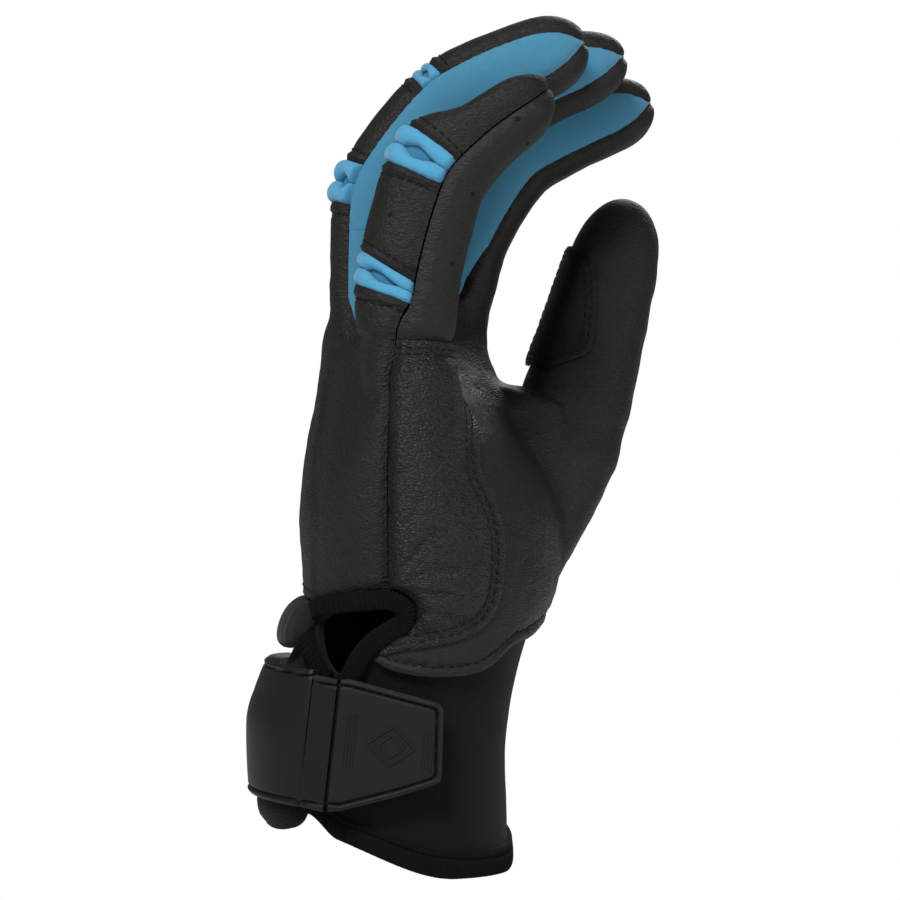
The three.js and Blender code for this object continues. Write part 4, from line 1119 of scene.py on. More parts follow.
def hand_panel(name, skin, near, hems, outside, puff, relief, seed):
    """A panel of the hand, sewn down at the edges near it and under the padded patch."""
    edge = np.minimum.reduce([skin.fields[key] for key in near])
    fade_thumb = smooth(0, FADE_REACH, skin.fields["edge_thumb"])
    fade = smooth(0, FADE_REACH, np.minimum(skin.fields["edge_palm"], skin.fields["edge_thumb"]))
    large = relief * wrinkle(skin.points, 9.0, seed, (1, 1, 0.6))
    small = 0.1 * wrinkle(skin.points, 3.2, seed + 7)
    lift = (large + small) * fade + puffed(edge, puff) * fade_thumb
    lift = lift + HEM_SIZE * sum(hemmed(skin.fields[key]) for key in hems)
    under = smooth(-1.5, 0.5, skin.fields["heel"])
    beside = (lift + sewn(skin.fields["heel"], 0.4, 1.4)) * (1 - under)
    lift = sewn(edge, 0.85) + beside - UNDER_PATCH * under
    return shell(name, skin, lift, LEATHER, outside, LINING)


def on_hand(piece):
    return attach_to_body(piece, "hand")


back = hand.keep("edge_back", "back", "off_fork", "notch", "back_hem")
piece = hand_panel("back_of_hand", back, ["back", "off_fork", "notch"], ["edge_back"], LEATHER_BACK,
                   puff=0.3, relief=0.2, seed=1)
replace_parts(on_hand(piece), "back_panel")

# Stitches of the back: its hems, a bar of close stitches above the vent and a punched hole
BARTACK = -3.1, 62.4
BARTACK_COUNT = 9
BARTACK_STEP = 0.42
BARTACK_STITCH = dict(length=2.8, size=0.27)
BARTACK_RISE = 0.75
BACK_HOLE = -9.5, 121.0
bartack = []
top = raised(back)
for k in range(BARTACK_COUNT):
    at, normal = nearest(top, BARTACK[0], BARTACK[1] + BARTACK_STEP * k)
    lengthwise, upright = np.array([1.0, 0, 0]), np.array([0, 0, 1.0])
    bartack.append(stitch(at + normal * BARTACK_RISE, lengthwise, upright, normal, **BARTACK_STITCH))
rows = [back.fields["edge_back"] - HEM_STITCH, back.fields["back_hem"] - BACK_HEM_STITCH]
trim("back_stitches", back, on_hand, rows, [BACK_HOLE], bartack)

palm = hand.keep("edge_palm", "edge_thumb", "palm", "off_fork", "notch", "palm_hem")
piece = hand_panel("palm", palm, ["palm", "off_fork", "notch"], ["palm_hem"], LEATHER_PALM,
                   puff=0.3, relief=0.24, seed=2)
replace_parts(on_hand(piece), "palm_panel")
trim("palm_stitches", palm, on_hand, [palm.fields["palm_hem"] - HEM_STITCH])

# Stretch forks between the fingers
forks = hand.keep("fork", "edge_palm")
for low, high in (("pinky", "ring"), ("ring", "middle"), ("middle", "index")):
    part = forks.clip(forks.points[:, 1] - FINGERS[low]["y"])
    part = part.clip(FINGERS[high]["y"] - part.points[:, 1])
    piece = shell(f"web_{low}_{high}", part, sewn(part.fields["fork"], 0.5), FABRIC, BLUE, BLUE)
    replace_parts(on_hand(piece), f"fork_{low}_{high}")


# Finger panels
FINGERTIP_TURN = 88.5


def tip_shares(count):
    """Shares of a fingertip's length, closer and closer towards its end."""
    return np.sin(np.radians(np.linspace(0, FINGERTIP_TURN, count)))


def panel(digit, start, stop, left, right, to_tip=False, out=0.0, fade_from=-50.0):
    """A skin between two edges along the digit and two seams round it."""
    low, high = start(0.0), stop(0.0)
    if to_tip:
        bend = (digit.tip_start + TIP_BEND * digit.tip - low) / (high - low)
        straight = np.linspace(0, bend, max(4, int(bend * (high - low) / FINGER_STEP)), endpoint=False)
        share = np.concatenate([straight, bend + (1 - bend) * tip_shares(16)])
    else:
        share = np.linspace(0, 1, max(4, int((high - low) / FINGER_STEP) + 1))
    share = share[:, None]
    t = low + (high - low) * share
    widest = np.max(np.abs(right(t) - left(t)))
    across = np.linspace(0, 1, max(4, int(widest * digit.width / 2 / FINGER_STEP) + 1))[None]
    for _ in range(3):
        angle = left(t) + (right(t) - left(t)) * across
        t = start(angle) + (stop(angle) - start(angle)) * share
    thick, wide = digit.halves(t)
    round_by = (thick + wide) / 2
    fields = dict(
        low=t - start(angle), high=stop(angle) - t,
        left=(angle - left(t)) * round_by, right=(right(t) - angle) * round_by,
        t=t + 0 * angle, **{"from": np.full_like(t, fade_from)},
    )
    return grid_skin(digit.skin(t, angle, out), fields=fields)


def constant(value):
    return lambda angle: value + 0 * angle


SCALLOP_DEPTH = 0.25
SCALLOP_PERIOD = 2.5


def finger_lift(skin, ends, puff, relief, seed, depth=0.75, hem=0.0):
    """The height of a finger's panel: sewn down at its sides and ends, puffed and wrinkled between."""
    f = skin.fields
    sides = np.minimum(f["left"], f["right"])
    scallop = 1 + SCALLOP_DEPTH * np.cos(f["t"] * 2 * math.pi / SCALLOP_PERIOD)
    lift = sewn(sides, depth) * scallop + puffed(sides, puff)
    for key in ends:
        lift = lift + sewn(f[key], 0.45, 0.5) + hemmed(f[key]) * hem
    return lift + relief * wrinkle(skin.points, 6.5, seed) * smooth(0, 5, f["t"] - f["from"])


# Punched holes, by the piece they are in: places seen from the little finger's side.
HOLES = {
    "pinky_mid_back": [(-2.9, 148.1)],
    "pinky_tip_back": [(14.4, 173.9)],
    "pinky_lower_palm": [(11.5, 137.4)],
    "pinky_upper_palm": [(16.3, 153.4), (27.0, 170.2), (28.6, 165.0)],
}
BAND_TUCK = 1.6
BAND_WALL = 1.4
# A band's two rolls, in shares of its width: their radius, how far they lie from its middle, and how much
# both change where the rolls part. The partings are shares of the way round.
ROLL_RADIUS = 0.27
ROLL_AWAY = 0.25
ROLL_CHANGE = 0.09
ROLL_PARTINGS = 0.08, 0.58
ROLL_PARTING = 0.36
ROLL_TUCK = 0.06
ROLL_SUNK = 0.85
ROLL_ENDS_SUNK = 2.6
ROLL_FLATNESS = 0.85


def seam_of(name, side):
    """One of the four seams along a finger: 0 and 2 are the back's, 1 and 3 the palm's."""
    return lambda t: seams_of(name, t)[side]


def turned_back(seam):
    return lambda t: seam(t) - 2 * math.pi


BEND_REACH = 4.5


def leaned(lean, x, y, z):
    """Coordinates turned about y."""
    return x * math.cos(lean) + z * math.sin(lean), y, z * math.cos(lean) - x * math.sin(lean)


def on_joint(digit, k):
    """Where a joint's zone ends and how its band leans are worked out, but the piece is only baked in place:
    it is not bent and is attached to no body.
    """
    ends = digit.starts[k] - BEND_REACH, digit.starts[k + 1] + BEND_REACH
    low, high = (np.array(digit.centre(t)[:3]) for t in ends)
    lean = math.atan(digit.spec.get("band_tilt", 0) / digit.thickness * 2) if k == 1 else 0
    half = np.array(leaned(lean, *(high - low) / 2))
    return lambda piece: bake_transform(piece)


def on_body(body):
    return lambda piece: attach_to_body(piece, body)


def band(name, digit, key, seams):
    """A stretch band over a joint: a base sheet with two soft rolls that part on each side."""
    base = panel(digit, *digit.opening(key, BAND_TUCK), *seams)
    groups = [walled(base, -BAND_WALL, FABRIC)[:2]]
    before, after = digit.opening(key)
    t_mid = np.array(float((before(0.0) + after(0.0)) / 2))
    left, right = (float(seam(t_mid)) for seam in seams)
    angles = np.linspace(left - ROLL_TUCK, right + ROLL_TUCK, 72)
    share = (angles - left) / (right - left)
    width = after(angles) - before(angles)
    middle = (after(angles) + before(angles)) / 2
    parted = sum(np.sin(math.pi * np.clip((share - at) / ROLL_PARTING, 0, 1)) for at in ROLL_PARTINGS)
    radius = width * (ROLL_RADIUS - ROLL_CHANGE * parted)
    away = width * (ROLL_AWAY + ROLL_CHANGE * parted)
    reach = np.linalg.norm(digit.skin(middle + 1, angles) - digit.skin(middle - 1, angles), axis=1) / 2
    sunk = ROLL_ENDS_SUNK * (1 - smooth(-ROLL_TUCK, 0.09, np.minimum(angles - left, right - angles)))
    turn = np.linspace(0, 2 * math.pi, 22, endpoint=False)
    for way in (-1, 1):
        rings = []
        for a, m, r, gap, more, down in zip(angles, middle, radius, away, reach, sunk):
            along = m + way * gap + np.cos(turn) * r
            out = -ROLL_SUNK - down + np.sin(turn) * r * more * ROLL_FLATNESS
            rings.append(digit.skin(along, a, out))
        tube = np.stack(rings)
        tube += 0.1 * wrinkle(tube.reshape(-1, 3), 1.6, 61).reshape(*tube.shape[:2], 1)
        groups.append(lofted(tube))
    points, faces = joined(groups)
    # The base sheet takes the darker blue copy, which is painted shade between the rolls; the rolls take the
    # band blue.
    under = len(groups[0][1])
    return make(name, points, faces, [BAND_BLUE, BLUE_PAINTED_SHADE], [1] * under + [0] * (len(faces) - under), 75)


for number, name in enumerate(NAMES):
    digit = DIGITS[name]
    mid, tip = f"{name}_mid", f"{name}_tip"
    waist = (digit.starts[2] + digit.starts[3]) / 2
    end = constant(digit.length - 0.02)
    back_u, palm_u, back_r, palm_r = (seam_of(name, side) for side in range(4))
    lower, upper = on_joint(digit, 1), on_joint(digit, 3)
    backs = (
        ("mid", digit.opening("lower")[1], digit.opening("upper")[0], mid),
        ("tip", digit.opening("upper")[1], end, tip),
    )
    for part, start, stop, body in backs:
        skin = panel(digit, start, stop, back_r, back_u, to_tip=part == "tip")
        edges = ["low", "high"] if part == "mid" else ["low"]
        lift = finger_lift(skin, edges, 0.35, 0.14, number, hem=HEM_SIZE)
        piece = shell(f"{name}_{part}_leather_back", skin, lift, LEATHER, LEATHER_BACK, LINING)
        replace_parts(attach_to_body(piece, body), f"{name}_{part}_back")
        rows = [skin.fields[key] - HEM_STITCH for key in edges]
        trim(f"{name}_{part}_stitches", skin, on_body(body), rows, HOLES.get(f"{name}_{part}_back", ()))
    sides = []
    if name != "pinky":
        sides.append(("ulnar", back_u, palm_u))
    if name != "index":
        sides.append(("radial", turned_back(palm_r), back_r))
    strips = (
        ("lower", constant(digit.root - PALM_CUT), constant(waist), lower, "mid", False),
        ("upper", constant(waist), end, upper, "tip", True),
    )
    for key, start, stop, attach, part, to_tip in strips:
        skin = panel(digit, start, stop, palm_u, palm_r, to_tip=to_tip, fade_from=digit.root - PALM_CUT)
        lift = finger_lift(skin, [], 0.3, 0.18, number + 5)
        piece = shell(f"{name}_{key}_leather_palm", skin, lift, LEATHER, LEATHER_PALM, LINING)
        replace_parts(attach(piece), f"{name}_{part}_palm")
        if f"{name}_{key}_palm" in HOLES:
            trim(f"{name}_{key}_palm_holes", skin, attach, (), HOLES[f"{name}_{key}_palm"])
        for side, left, right in sides:
            skin = panel(digit, start, stop, left, right, to_tip=to_tip)
            lift = finger_lift(skin, [], 0.25, 0.1, number + 9, depth=0.5)
            piece = shell(f"{name}_{key}_side_{side}", skin, lift, FABRIC, BLUE, BLUE)
            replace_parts(attach(piece), f"{name}_{part}_side_{side}")
    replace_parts(lower(band(f"{name}_lower_band", digit, "lower", (back_r, back_u))), f"{name}_lower_flex")
    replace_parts(upper(band(f"{name}_upper_band", digit, "upper", (back_r, back_u))), f"{name}_upper_flex")


# Thumb
RING = np.linspace(0, 2 * math.pi, 72, endpoint=False)[None]
THUMB_WAIST = 62.0
THUMB_SEAM = math.radians(166)


def thumb_ring(t):
    t = t[:, None]
    round_by = sum(thumb.halves(t)) / 2
    seam = np.abs(RING - THUMB_SEAM) * round_by
    return grid_skin(thumb.skin(t, RING), True, dict(t=t + 0 * RING, seam=seam))


x0, y0, z0, _ = thumb.centre(THUMB_CUT)
x1, y1, z1, _ = thumb.centre(THUMB_WAIST)
lower = thumb_ring(np.arange(THUMB_CUT, THUMB_WAIST + 0.01, 1.0))
fade = smooth(0, 6, lower.fields["t"] - THUMB_CUT)
lift = (sewn(lower.fields["seam"], 0.5) + 0.25 * wrinkle(lower.points, 7, 21)) * fade
piece = shell("thumb_lower", lower, lift, LEATHER, LEATHER_PALM, LINING)
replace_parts(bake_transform(piece), "thumb_gusset")
bend = thumb.tip_start + TIP_BEND * thumb.tip
past = bend + (thumb.length - 0.02 - bend) * tip_shares(20)
upper = thumb_ring(np.concatenate([np.arange(THUMB_WAIST, bend - 0.5, 1.0), past]))
lift = sewn(upper.fields["seam"], 0.5) + 0.25 * wrinkle(upper.points, 7, 21)
piece = shell("thumb_upper", upper, lift, LEATHER, LEATHER_PALM, LINING)
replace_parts(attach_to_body(piece, "thumb"), "thumb_shell")
# The grip patch's outline, seen from the little finger's side
PATCH = smooth_line([
    (39, 149), (44, 148.5), (46.5, 146), (47.5, 142), (48, 134), (46.8, 122.5),
    (44.5, 118.5), (38, 116), (30, 113), (20, 113), (20, 149),
], 4, True)
PATCH_ROWS = 1.5, 2.9
patch_low = thumb.tip_start + 0.1 * thumb.tip
patch_high = thumb.tip_start + 0.7 * thumb.tip
patch_left, patch_right = constant(math.radians(-14)), constant(math.radians(104))
patch = panel(thumb, constant(patch_low), constant(patch_high), patch_left, patch_right)
limits = [patch.fields[key] for key in ("low", "high", "left")]
patch.fields["edge"] = np.minimum.reduce([inside_outline(patch.points, PATCH), *limits])
patch = patch.keep("edge")
edge = patch.fields["edge"]
lift = 1.4 + sewn(edge, 0.4, 0.5) + 0.15 * wrinkle(patch.points, 6, 31) - 0.25 * ridge(edge, 2.2, 1.1)
# The grip patch is in the darker leather copy, whose extra darkness is painted shade.
piece = shell("thumb_grip_patch", patch, lift, -0.3, LEATHER_GRIP_PAINTED_SHADE, LINING)
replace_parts(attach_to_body(piece, "thumb"), "thumb_patch")
trim("thumb_patch_stitches", patch, on_body("thumb"), [edge - row for row in PATCH_ROWS])

# Padded patch over the heel of the hand
heel = hand.keep("heel", "palm", "notch")
inside = heel.fields["heel"]
HEEL_EDGE = 0.9
HEEL_PADDING = 1.7
HEEL_CHANNEL = 2.35
HEEL_ROWS = 1.6, 3.1
CREASE = np.array([-6.0, 62.0])
seam_side = np.minimum(heel.fields["palm"], heel.fields["notch"])
lift = HEEL_EDGE + HEEL_PADDING * smooth(2.5, 8, inside)
lift = lift - 0.4 * ridge(inside, HEEL_CHANNEL, 1.2) + sewn(inside, 0.4, 0.5)
# Creases that fan out from a place beside the vent
from_crease = np.hypot(heel.points[:, 0] - CREASE[0], heel.points[:, 2] - CREASE[1])
round_crease = np.arctan2(heel.points[:, 2] - CREASE[1], heel.points[:, 0] - CREASE[0])
wave = np.sin(round_crease * 8 + 1.6 * wrinkle(heel.points, 14, 43))
creases = -ridge(wave, 0, 0.45) * ridge(from_crease, 12, 11)
lift = lift + smooth(1, 5, inside) * (0.55 * creases + 0.25 * wrinkle(heel.points, 8, 41))
for row in HEEL_ROWS:
    lift = lift - 0.2 * ridge(inside, row, 0.45)
lift = lift * smooth(-0.5, 3.2, seam_side) + sewn(seam_side, 0.8, 0.9)
piece = shell("heel_padding", heel, lift, 0.3, LEATHER_PATCH, LINING)
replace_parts(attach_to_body(piece, "hand"), "heel_patch", "heel_foam")
trim("heel_stitches", heel, on_hand, [inside - row for row in HEEL_ROWS])


# Cuff
def sleeve_skin(levels, angles, grow, wrap=True):
    """The part of the sleeve between heights and angles, grown outwards."""
    return grid_skin(np.stack([sleeve(level, angles, grow) for level in levels]), wrap)


AROUND = np.linspace(0, 2 * math.pi, 180, endpoint=False)
SLEEVE_OUT = -(LEATHER + SEAM_GAP)
cuff = sleeve_skin(np.linspace(0.05, CUFF_TOP, 56), AROUND, SLEEVE_OUT)
cuff.fields["notch"] = np.where(cuff.points[:, 1] < 0, inside_outline(cuff.points, NOTCH), -50.0)
binding_lines = cuff.lines(cuff.fields["notch"])
cuff = cuff.clip(BINDING - cuff.fields["notch"])
lift = 0.16 * wrinkle(cuff.points, 9, 51, (1, 1, 1.5))
piece = shell("cuff_fabric", cuff, lift, SLEEVE, CUFF_TWILL, CUFF_TWILL)
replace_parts(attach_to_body(piece, "hand"), "cuff_sleeve")


def swept(points, normals, section, swell):
    """A closed tube along a line on a surface, from a section's offsets across and off the surface."""
    ahead, across = directions(points, normals)
    grid = [
        p + np.outer(section[:, 0] * size, b) + np.outer(section[:, 1] * size, n)
        for p, n, b, size in zip(points, normals, across, swell)
    ]
    return lofted(np.stack(grid))


OVAL_SQUARENESS = 0.7
EDGING = dict(half_wide=2.25, half_thick=1.05, middle=1.35)
EDGING_STEP = 0.14
RIB_PERIOD = 0.62


def oval(half_wide, half_thick, middle, count=16):
    """A squarish oval section, whose middle stands off the surface."""
    turn = np.linspace(0, 2 * math.pi, count, endpoint=False)
    wide = power(np.cos(turn), OVAL_SQUARENESS) * half_wide
    thick = power(np.sin(turn), OVAL_SQUARENESS) * half_thick
    return np.stack([wide, middle + thick], 1)


# Binding round the vent: the line round the outline without its lower end, which the hem covers
base = np.array([NOTCH[0], NOTCH[-1]])
rows = max(binding_lines, key=lambda line: len(line[0]))
points, normals = resampled(rows, EDGING_STEP)
points = np.stack([blur(column, 8) for column in points.T], 1)
closing = np.interp(points[:, 0], base[:, 0], base[:, 1])
beside = (points[:, 0] < base[0, 0]) | (points[:, 0] > base[1, 0])
above = (points[:, 2] > closing + 0.9) | beside
start = int(np.argmax(~above)) if not above.all() else 0
above, points, normals = (np.roll(a[:-1], -start, axis=0) for a in (above, points, normals))
points, normals = points[above], normals[above]
ribs = 1 + 0.07 * np.sin(np.arange(len(points)) * EDGING_STEP * 2 * math.pi / RIB_PERIOD)
piece = make("notch_edging", *swept(points, normals, oval(**EDGING), ribs), [RIB], sharp=70)
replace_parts(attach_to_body(piece, "hand"), "notch_binding")

# Rib-knit hem round the cuff's mouth
HEM_SHARE = HEM_HEIGHT / WEB_HEIGHT
HEM_BASE = 0.004
HEM_OUT = 1.2
HEM_SQUARENESS = 0.6
HEM_RIBS = 165
turn = np.linspace(0, 2 * math.pi, 44, endpoint=False)
around = np.linspace(0, 2 * math.pi, 4 * HEM_RIBS, endpoint=False)
ribs = 0.14 * np.sin(around * HEM_RIBS)
hem_grow = (SLEEVE_OUT + HEM_OUT + SLEEVE_OUT - SLEEVE) / 2
hem_thick = (HEM_OUT + SLEEVE) / 2
grid = []
for a in turn:
    high, off = power(math.sin(a), HEM_SQUARENESS), power(math.cos(a), HEM_SQUARENESS)
    groove = 0.55 * ridge(high, 0.45, 0.09)
    level = HEM_BASE + HEM_SHARE / 2 + high * HEM_SHARE / 2
    grid.append(sleeve(level, around, hem_grow + off * (hem_thick + ribs - groove)))
grid = np.stack(grid, 1)
rows, cols = grid.shape[:2]
faces = []
for i in range(rows):
    for j in range(cols):
        this, past, beyond = i * cols, (i + 1) % rows * cols, (j + 1) % cols
        faces.append((this + j, past + j, past + beyond, this + beyond))
piece = make("cuff_edge", grid.reshape(-1, 3), faces, [RIB], sharp=70)
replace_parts(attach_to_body(piece, "hand"), "cuff_hem")

# Padded roll at the back of the wrist
ROLL_LEVEL = 0.422
ROLL_HALF_HIGH = 5.8
ROLL_HALF_THICK = 3.9
ROLL_OUT = 0.3
turn = np.linspace(0, 2 * math.pi, 24, endpoint=False)
rings = []
for a in np.radians(np.linspace(-34, 36, 60)):
    share = (math.degrees(a) - 1) / 35
    size = max(1 - abs(share) ** 6, 0.02) ** 0.5
    high = ROLL_HALF_HIGH * size / WEB_HEIGHT
    thick = ROLL_HALF_THICK * size * (1 + 0.035 * math.sin(a * 60))
    rings.append(sleeve(ROLL_LEVEL + np.sin(turn) * high, a, ROLL_OUT + np.cos(turn) * thick))
piece = make("wrist_padding", *lofted(np.array(rings)), [BLACK_STRETCH], sharp=70)
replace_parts(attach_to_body(piece, "hand"), "wrist_roll")

# Tab under the strap's end at the back of the wrist
TAB = smooth_line(places_of([
    [-0.85, 0.14], [-0.7, 0.108], [-0.688, 0.08], [-0.634, 0.059], [-0.57, 0.05],
    [-0.495, 0.055], [-0.444, 0.077], [-0.434, 0.12], [-0.472, 0.312], [-0.85, 0.312],
]), 4, True)
TAB_REACH = 0.276
TAB_THICK = 2.0
BACKWARDS = np.radians(np.linspace(-100, 100, 130))
tab = sleeve_skin(np.linspace(-0.085, 0.33, 72), BACKWARDS, SLEEVE_OUT + SEAM_GAP, False)
reach = TAB_REACH * HALF_WIDTH - tab.points[:, 1]
tab.fields["edge"] = np.minimum(inside_outline(tab.points, TAB), reach)
tab = tab.keep("edge")
lift = TAB_THICK + 1.5 * (1 - smooth(12, 16, tab.points[:, 2])) - 1.5 * ridge(tab.fields["edge"], 0, 1.3)
piece = shell("wrist_tongue", tab, lift, 0.0, CUFF_TWILL, CUFF_TWILL)
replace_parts(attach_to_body(piece, "hand"), "wrist_tab")

# Strap: a plate round the back of the wrist, a bar between two folds, and a free end with a raised rim
STRAP_LEAN = math.radians(6.3)
STRAP_FOLD = np.array([-0.452 * HAND_DEPTH, -0.745 * HALF_WIDTH, 0.222 * WEB_HEIGHT])
STRAP_HEIGHT = 32.0
STRAP_WALL = 2.4
STRAP_RIM = 0.8
RIM_WIDTH = 1.2
FACE_DEPTH = 0.25
BAR_WIDTH = 7.0
BAR_TURN = math.radians(29)
BAR = np.array([[HINGE_GAP, -15.616], [BAR_WIDTH, -16], [BAR_WIDTH, 14.592], [HINGE_GAP, 15.008]])
TIP_SHARES = np.array([
    [0, 0.462], [0.06, 0.47], [0.67, 0.378], [0.728, 0.362], [0.755, 0.315], [0.792, -0.134],
    [0.788, -0.18], [0.75, -0.215], [0.5, -0.326], [0.168, -0.45], [0.1, -0.476], [0, -0.49],
])


def turned(x, y, angle):
    return x * math.cos(angle) - y * math.sin(angle), x * math.sin(angle) + y * math.cos(angle)


def strap_frame(points, turn, shift=0.0, back=0.0):
    """Points of a plate's own frame, placed on the glove: x runs along the strap and y into the wrist."""
    x, y, z = np.asarray(points, float).T
    x, y = turned(x, y, back)
    x, y = turned(x + shift, y, -turn)
    return STRAP_FOLD + np.stack(leaned(STRAP_LEAN, x, y, z), 1)


def plate(outline, wall, relief, step):
    """A moulded plate in its own frame: the outer face at y = 0, shaped by relief, the inner face flat."""
    low, high = outline.min(0) - step, outline.max(0) + step
    x, z = np.meshgrid(*(np.arange(low[k], high[k], step) for k in (0, 1)))
    sheet = grid_skin(np.stack([x, 0 * x, z], -1))
    sheet.fields["edge"] = inside_outline(sheet.points, outline)
    sheet = sheet.keep("edge")
    sheet.normals = np.tile([0.0, -1.0, 0.0], (len(sheet.points), 1))
    return walled(sheet, -relief(sheet.points, sheet.fields["edge"]), wall, True)[:2]


def rim(edge):
    """Depth below the rim's top: a rounded edge, a deep groove and a face that lies a little lower."""
    face = FACE_DEPTH * smooth(RIM_WIDTH, RIM_WIDTH + 0.5, edge)
    return face + 0.5 * ridge(edge, 0, 0.4) + 0.75 * ridge(edge, RIM_WIDTH + 0.3, 0.3)


def end_rims(p, low, high):
    """The rim along a plate's upper and lower edges, which lie at heights that change evenly along it."""
    x, _, z = p.T
    edge = np.minimum(z - (low[0] + low[1] * x), high[0] + high[1] * x - z)
    return rim(edge)


# A plain pattern of raised lines on the free end's face: a diamond in a diamond, between pairs of bars
def diamond(x, z, wide, high):
    return [(x - wide, z), (x, z + high), (x + wide, z), (x, z - high), (x - wide, z)]


def bars(places, low, high):
    return [[(x, low), (x, high)] for x in places]


PATTERN = [diamond(13.5, 0.8, 5.6, 4.6), diamond(13.5, 0.8, 3.2, 2.6)]
PATTERN += bars((3.4, 4.9), -5.6, 7.2) + bars((21.4, 22.9), -4.2, 5.6)


def raised_line(corners):
    """A low bead along corners on the free end's face."""
    line = np.array([[x, FACE_DEPTH, z] for x, z in corners], float)
    points, normals = resampled((line, np.tile([0.0, -1.0, 0.0], (len(line), 1))), 0.6)
    return swept(points, normals, oval(0.32, 0.26, 0.06, 8), np.ones(len(points)))


def clamped(points, faces, near, far):
    """Ends of a plate cut back on a slant, so that it can fold against its neighbour."""
    slant = math.tan(BAR_TURN / 2) * np.maximum(points[:, 1], 0)
    points = points.copy()
    if far is not None:
        points[:, 0] = np.minimum(points[:, 0], far - slant)
    if near is not None:
        points[:, 0] = np.maximum(points[:, 0], near + slant)
    return points, faces


STRAP_WHOLE = STRAP_WALL + STRAP_RIM
BAR_EDGES = (-15.584, -0.06), (15.04, -0.064)
BAR_WHOLE = BAR_WIDTH + HINGE_GAP
bar = plate(BAR, STRAP_WHOLE, lambda p, edge: end_rims(p, *BAR_EDGES), 0.45)
points, faces = clamped(*bar, None, BAR_WIDTH)
piece = make("strap_link", strap_frame(points, BAR_TURN), faces, [RUBBER], sharp=50)
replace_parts(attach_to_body(piece, "strap_bar"), "strap_bar")
tip_outline = TIP_SHARES * STRAP_HEIGHT + [HINGE_GAP, 0]
# The rim stays open at the fold, so its outline starts well before the fold
beyond_fold = np.where(tip_outline[:, :1] < 1, [[-12, 0]], 0)
rim_outline = tip_outline + beyond_fold
tip = plate(tip_outline, STRAP_WHOLE, lambda p, edge: rim(inside_outline(p, rim_outline)), 0.27)
groups = [clamped(*tip, HINGE_GAP, None)] + [raised_line(corners) for corners in PATTERN]
points, faces = joined(groups)
points = strap_frame(points, BAR_TURN, BAR_WHOLE, BAR_TURN)
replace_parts(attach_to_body(make("strap_end", points, faces, [RUBBER], sharp=50), "strap_tip"), "strap_tip")

# Thin folds of the moulding, shaped in a fixed turn between the plate, the bar and the free end, and baked
# in place
FOLD_DEPTHS = 1.3, 2.1
FOLD_REACH = 2.0


def at_plate(along, corners):
    """A section of the first fold, which turns from the plate round the wrist into the bar."""
    turn = BAR_TURN * (1.5 - 0.5 * smooth(-0.3, 0.8, along))
    return strap_frame([[along, deep, high] for deep, high in corners], turn)


def at_end(along, corners):
    """A section of the second fold, which turns from the bar into the free end."""
    back = BAR_TURN * smooth(-0.5, 0.5, along)
    return strap_frame([[along, deep, high] for deep, high in corners], BAR_TURN, BAR_WHOLE, back)


for name, low, high, bodies, bent in (
    ("strap_fold_strip", -14.6, 14.2, ("hand", "strap_bar"), at_plate),
    ("strap_end_fold_strip", -14.4, 13.8, ("strap_bar", "strap_tip"), at_end),
):
    near, deep = FOLD_DEPTHS
    corners = [(deep, low), (deep, high), (near, high), (near, low)]
    strip = lofted(np.stack([bent(along, corners) for along in np.linspace(-FOLD_REACH, FOLD_REACH, 17)]))
    start, end = (tuple(place(bent(along, [(near, 0)]))[0].tolist()) for along in (-1, 1))
    piece = make(name, *strip, [RUBBER], sharp=50)
    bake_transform(piece)

STRAP_REACH = 0.529
TAB_TOP = SLEEVE_OUT + SEAM_GAP + TAB_THICK
STRAP_OUT = TAB_TOP + SEAM_GAP + STRAP_WHOLE
angles = np.radians(np.linspace(-105, 105, 360))
strap = sleeve_skin(np.linspace(-0.08, 0.42, 150), angles, STRAP_OUT, False)
rel = strap.points - STRAP_FOLD
local_x, _, local_z = leaned(-STRAP_LEAN, *rel.T)
strap.fields["rim"] = STRAP_HEIGHT / 2 - np.abs(local_z)
strap.fields["long"] = np.minimum(strap.fields["rim"], -local_x)
strap.fields["fold"] = -local_x
strap.fields["reach"] = STRAP_REACH * HALF_WIDTH - strap.points[:, 1]
strap = strap.keep("long", "reach")
lift = -rim(strap.fields["rim"])
for key in ("reach", "fold"):
    lift = lift - 0.35 * ridge(strap.fields[key], 0, 0.4)
piece = shell("strap_plate", strap, lift, STRAP_WHOLE, RUBBER, RUBBER, True)
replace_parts(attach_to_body(piece, "hand"), "strap_panel")

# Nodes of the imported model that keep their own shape
for name in ("hook_pad", "loop_pad"):
    for place_of in bpy.data.objects[name].material_slots:
        place_of.material = PAD

# Floor, backdrop, light and camera
FLOOR = float(place([[0, 0, 0]])[0, 2]) - 0.0045


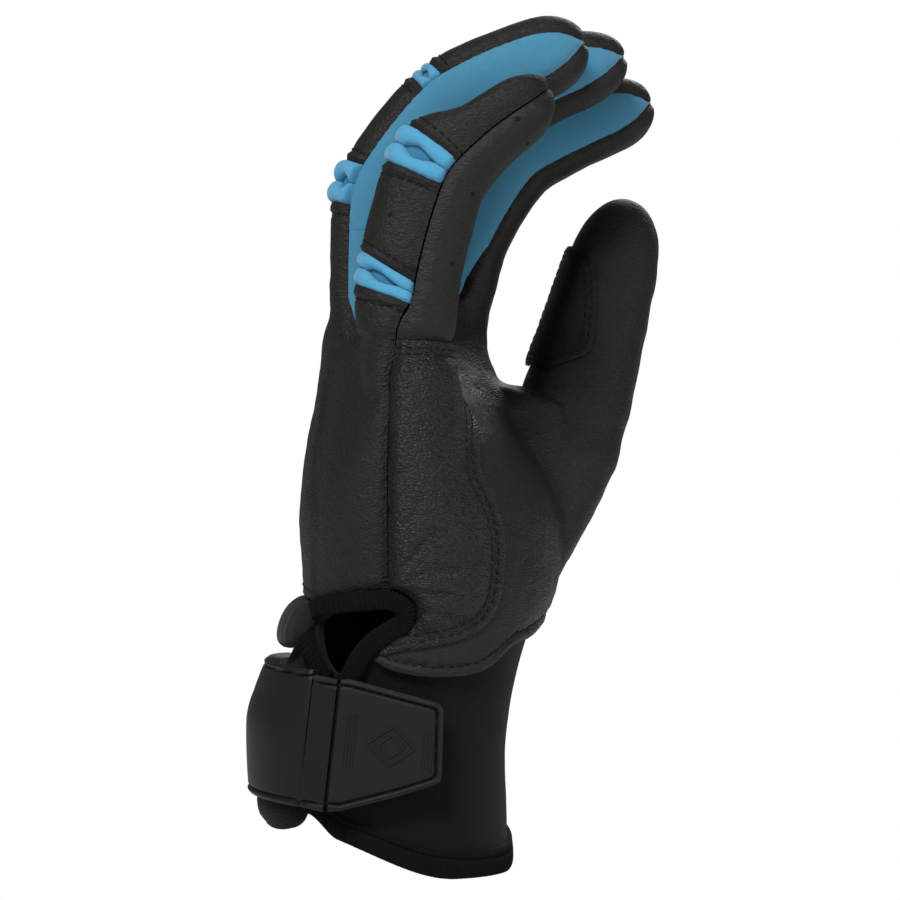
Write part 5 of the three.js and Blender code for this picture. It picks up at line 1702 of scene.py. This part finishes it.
def stage_plane(name, corners, material):
    """A plane of the set, which isn't part of the glove."""
    mesh = bpy.data.meshes.new(name)
    mesh.from_pydata(corners, [], [(0, 1, 2, 3)])
    mesh.materials.append(material)
    plane = bpy.data.objects.new(name, mesh)
    bpy.context.scene.collection.objects.link(plane)


white = Finish("white_ground", (0.82, 0.82, 0.82), 0.9)
glow = white.node("ShaderNodeEmission", {}, {"Color": (1, 1, 1, 1), "Strength": 1.0})
lit = Value(white, white.shader.outputs[0])
seen = white.node("ShaderNodeLightPath", {}, [], "Is Camera Ray")
ground = white.node("ShaderNodeMixShader", {}, {0: seen, 1: lit, 2: glow})
white.tree.links.new(ground.socket, white.tree.nodes["Material Output"].inputs["Surface"])
stage_plane("floor", [(-4, -3, FLOOR), (4, -3, FLOOR), (4, 4, FLOOR), (-4, 4, FLOOR)], white.material)
stage_plane("backdrop", [(-4, 4, FLOOR), (4, 4, FLOOR), (4, 4, 4), (-4, 4, 4)], white.material)

world = bpy.data.worlds.new("studio")
bpy.context.scene.world = world
world.use_nodes = True
world.node_tree.nodes["Background"].inputs["Color"].default_value = (1, 1, 1, 1)
world.node_tree.nodes["Background"].inputs["Strength"].default_value = 0.2


def lamp(name, at, target, size, watts):
    """A square lamp that shines towards a target."""
    data = bpy.data.lights.new(name, "AREA")
    data.size = size
    data.energy = watts
    light = bpy.data.objects.new(name, data)
    light.location = at
    light.rotation_euler = (Vector(target) - Vector(at)).to_track_quat("-Z", "Y").to_euler()
    bpy.context.scene.collection.objects.link(light)


MIDDLE = (0.01, 0, 0.1)
lamp("key", (-0.25, -0.75, 0.8), MIDDLE, 0.3, 12)
lamp("fill", (0.8, -0.6, 0.3), MIDDLE, 0.5, 3)
lamp("rim", (0.3, 0.8, 0.7), MIDDLE, 0.4, 4)

camera_data = bpy.data.cameras.new("camera")
camera_data.sensor_width = SENSOR
camera_data.lens = SENSOR * CAMERA_DISTANCE / FRAME_WIDTH
camera = bpy.data.objects.new("camera", camera_data)
camera.location = (CAMERA_X / METRE, -CAMERA_DISTANCE / METRE, CAMERA_Z / METRE)
camera.rotation_euler = (math.pi / 2, 0, 0)
bpy.context.scene.collection.objects.link(camera)
bpy.context.scene.camera = camera
bpy.context.scene.view_settings.view_transform = "Standard"
